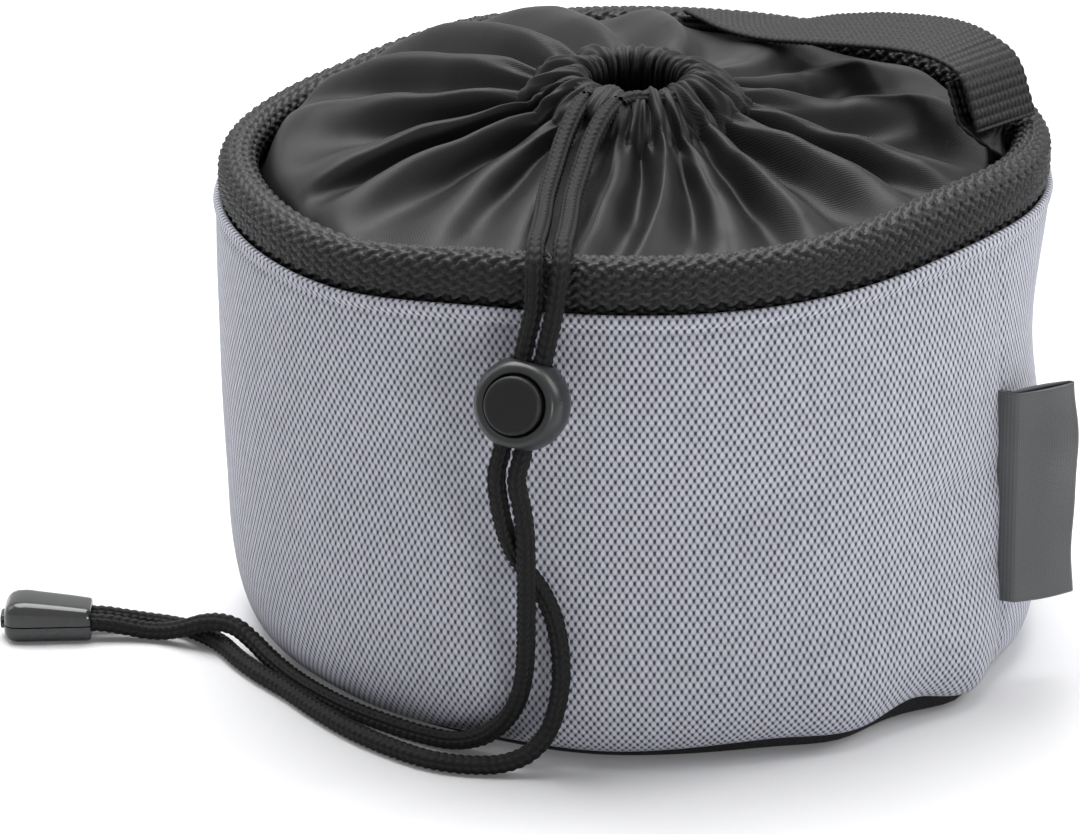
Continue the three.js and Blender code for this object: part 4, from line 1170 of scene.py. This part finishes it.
# Label
# A grey woven tape folded in half, with its two ends sewn into the side seam. It stands out from the wall,
# curls a little along its free edge and is bare.
label_root = np.array([84.0344, -47.7382])
label_heading = math.radians(28)
label_seam = math.radians(seam_angle)
label_low, label_high = 21.0, 71.0
label_reach = 14.9
label_outer, label_inner = 1.15, 0.55
label_sewn = 4.4
label_out = np.array([math.cos(label_heading), math.sin(label_heading)])
label_aside = np.array([-label_out[1], label_out[0]])
seam_out = np.array([math.cos(label_seam), math.sin(label_seam)])


def label_outline(radius):
    sewn = arc_points(0, 0, radius, math.pi / 2, 1.5 * math.pi, 13)
    lower = np.column_stack([np.linspace(0, label_reach, 24)[1:-1], np.full(22, -radius)])
    fold = arc_points(label_reach, 0, radius, -math.pi / 2, math.pi / 2, 13)
    upper = np.column_stack([np.linspace(label_reach, 0, 24)[1:-1], np.full(22, radius)])
    return np.vstack([sewn, lower, fold, upper])


label_rows = np.linspace(label_low, label_high, 90)
label_loops = []
for radius, heights in ((label_outer, label_rows), (label_inner, label_rows[::-1])):
    outline = label_outline(radius)
    out = np.clip(outline[:, 0] / label_reach, 0, 1)
    gape = outline[:, 1] * (1 + 0.8 * np.sin(math.pi * out))
    sewn = label_sewn * np.clip(-outline[:, 0] / label_outer, 0, 1)
    for z in heights:
        ripple = 0.5 * np.sin(0.13 * (z - 30)) + 0.3 * np.sin(0.31 * z)
        bow = out * ripple + 0.6 * out ** 2 * np.cos(0.09 * z)
        reach = outline[:, 0] + out * (0.7 * np.sin(0.14 * (z - 21) + 3.4) + 0.2 * np.sin(0.33 * z))
        plan = label_root + np.outer(reach, label_out) + np.outer(gape + bow, label_aside)
        plan = plan - np.outer(sewn, seam_out)
        label_loops.append(np.column_stack([plan, np.full(len(outline), z)]))
label_grid = np.array(label_loops)
label_rounds = np.concatenate([label_rows, label_rows[::-1], label_rows[:1]])
label_uv = places(label_rounds, np.linspace(0, 36, label_grid.shape[1] + 1))
label = surface("label_tape", label_grid, label_uv, loops_u=True, loops_v=True)

label_finish, tree, shader = new_finish("grey_satin_tape", roughness=0.42, shine=0.4, sheen=0.02)
columns, rows = weave_place(tree)
satin = mixed(tree, ribs(tree, columns, 0.45), 0.3, ribs(tree, rows, 0.35), 0.2)
cloud = sums(tree, "SUBTRACT", speckle(tree, scale=45.0, detail=5.0), 0.5)
tone = plus(tree, plus(tree, satin, 0.5), cloud)
paint(tree, shader, tone, (0.0, (0.05, 0.052, 0.055)), (1.0, (0.1, 0.103, 0.108)))
emboss(tree, shader, satin, strength=0.25, distance=0.00012)
label.data.materials.append(label_finish)
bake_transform(label)
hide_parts("label")
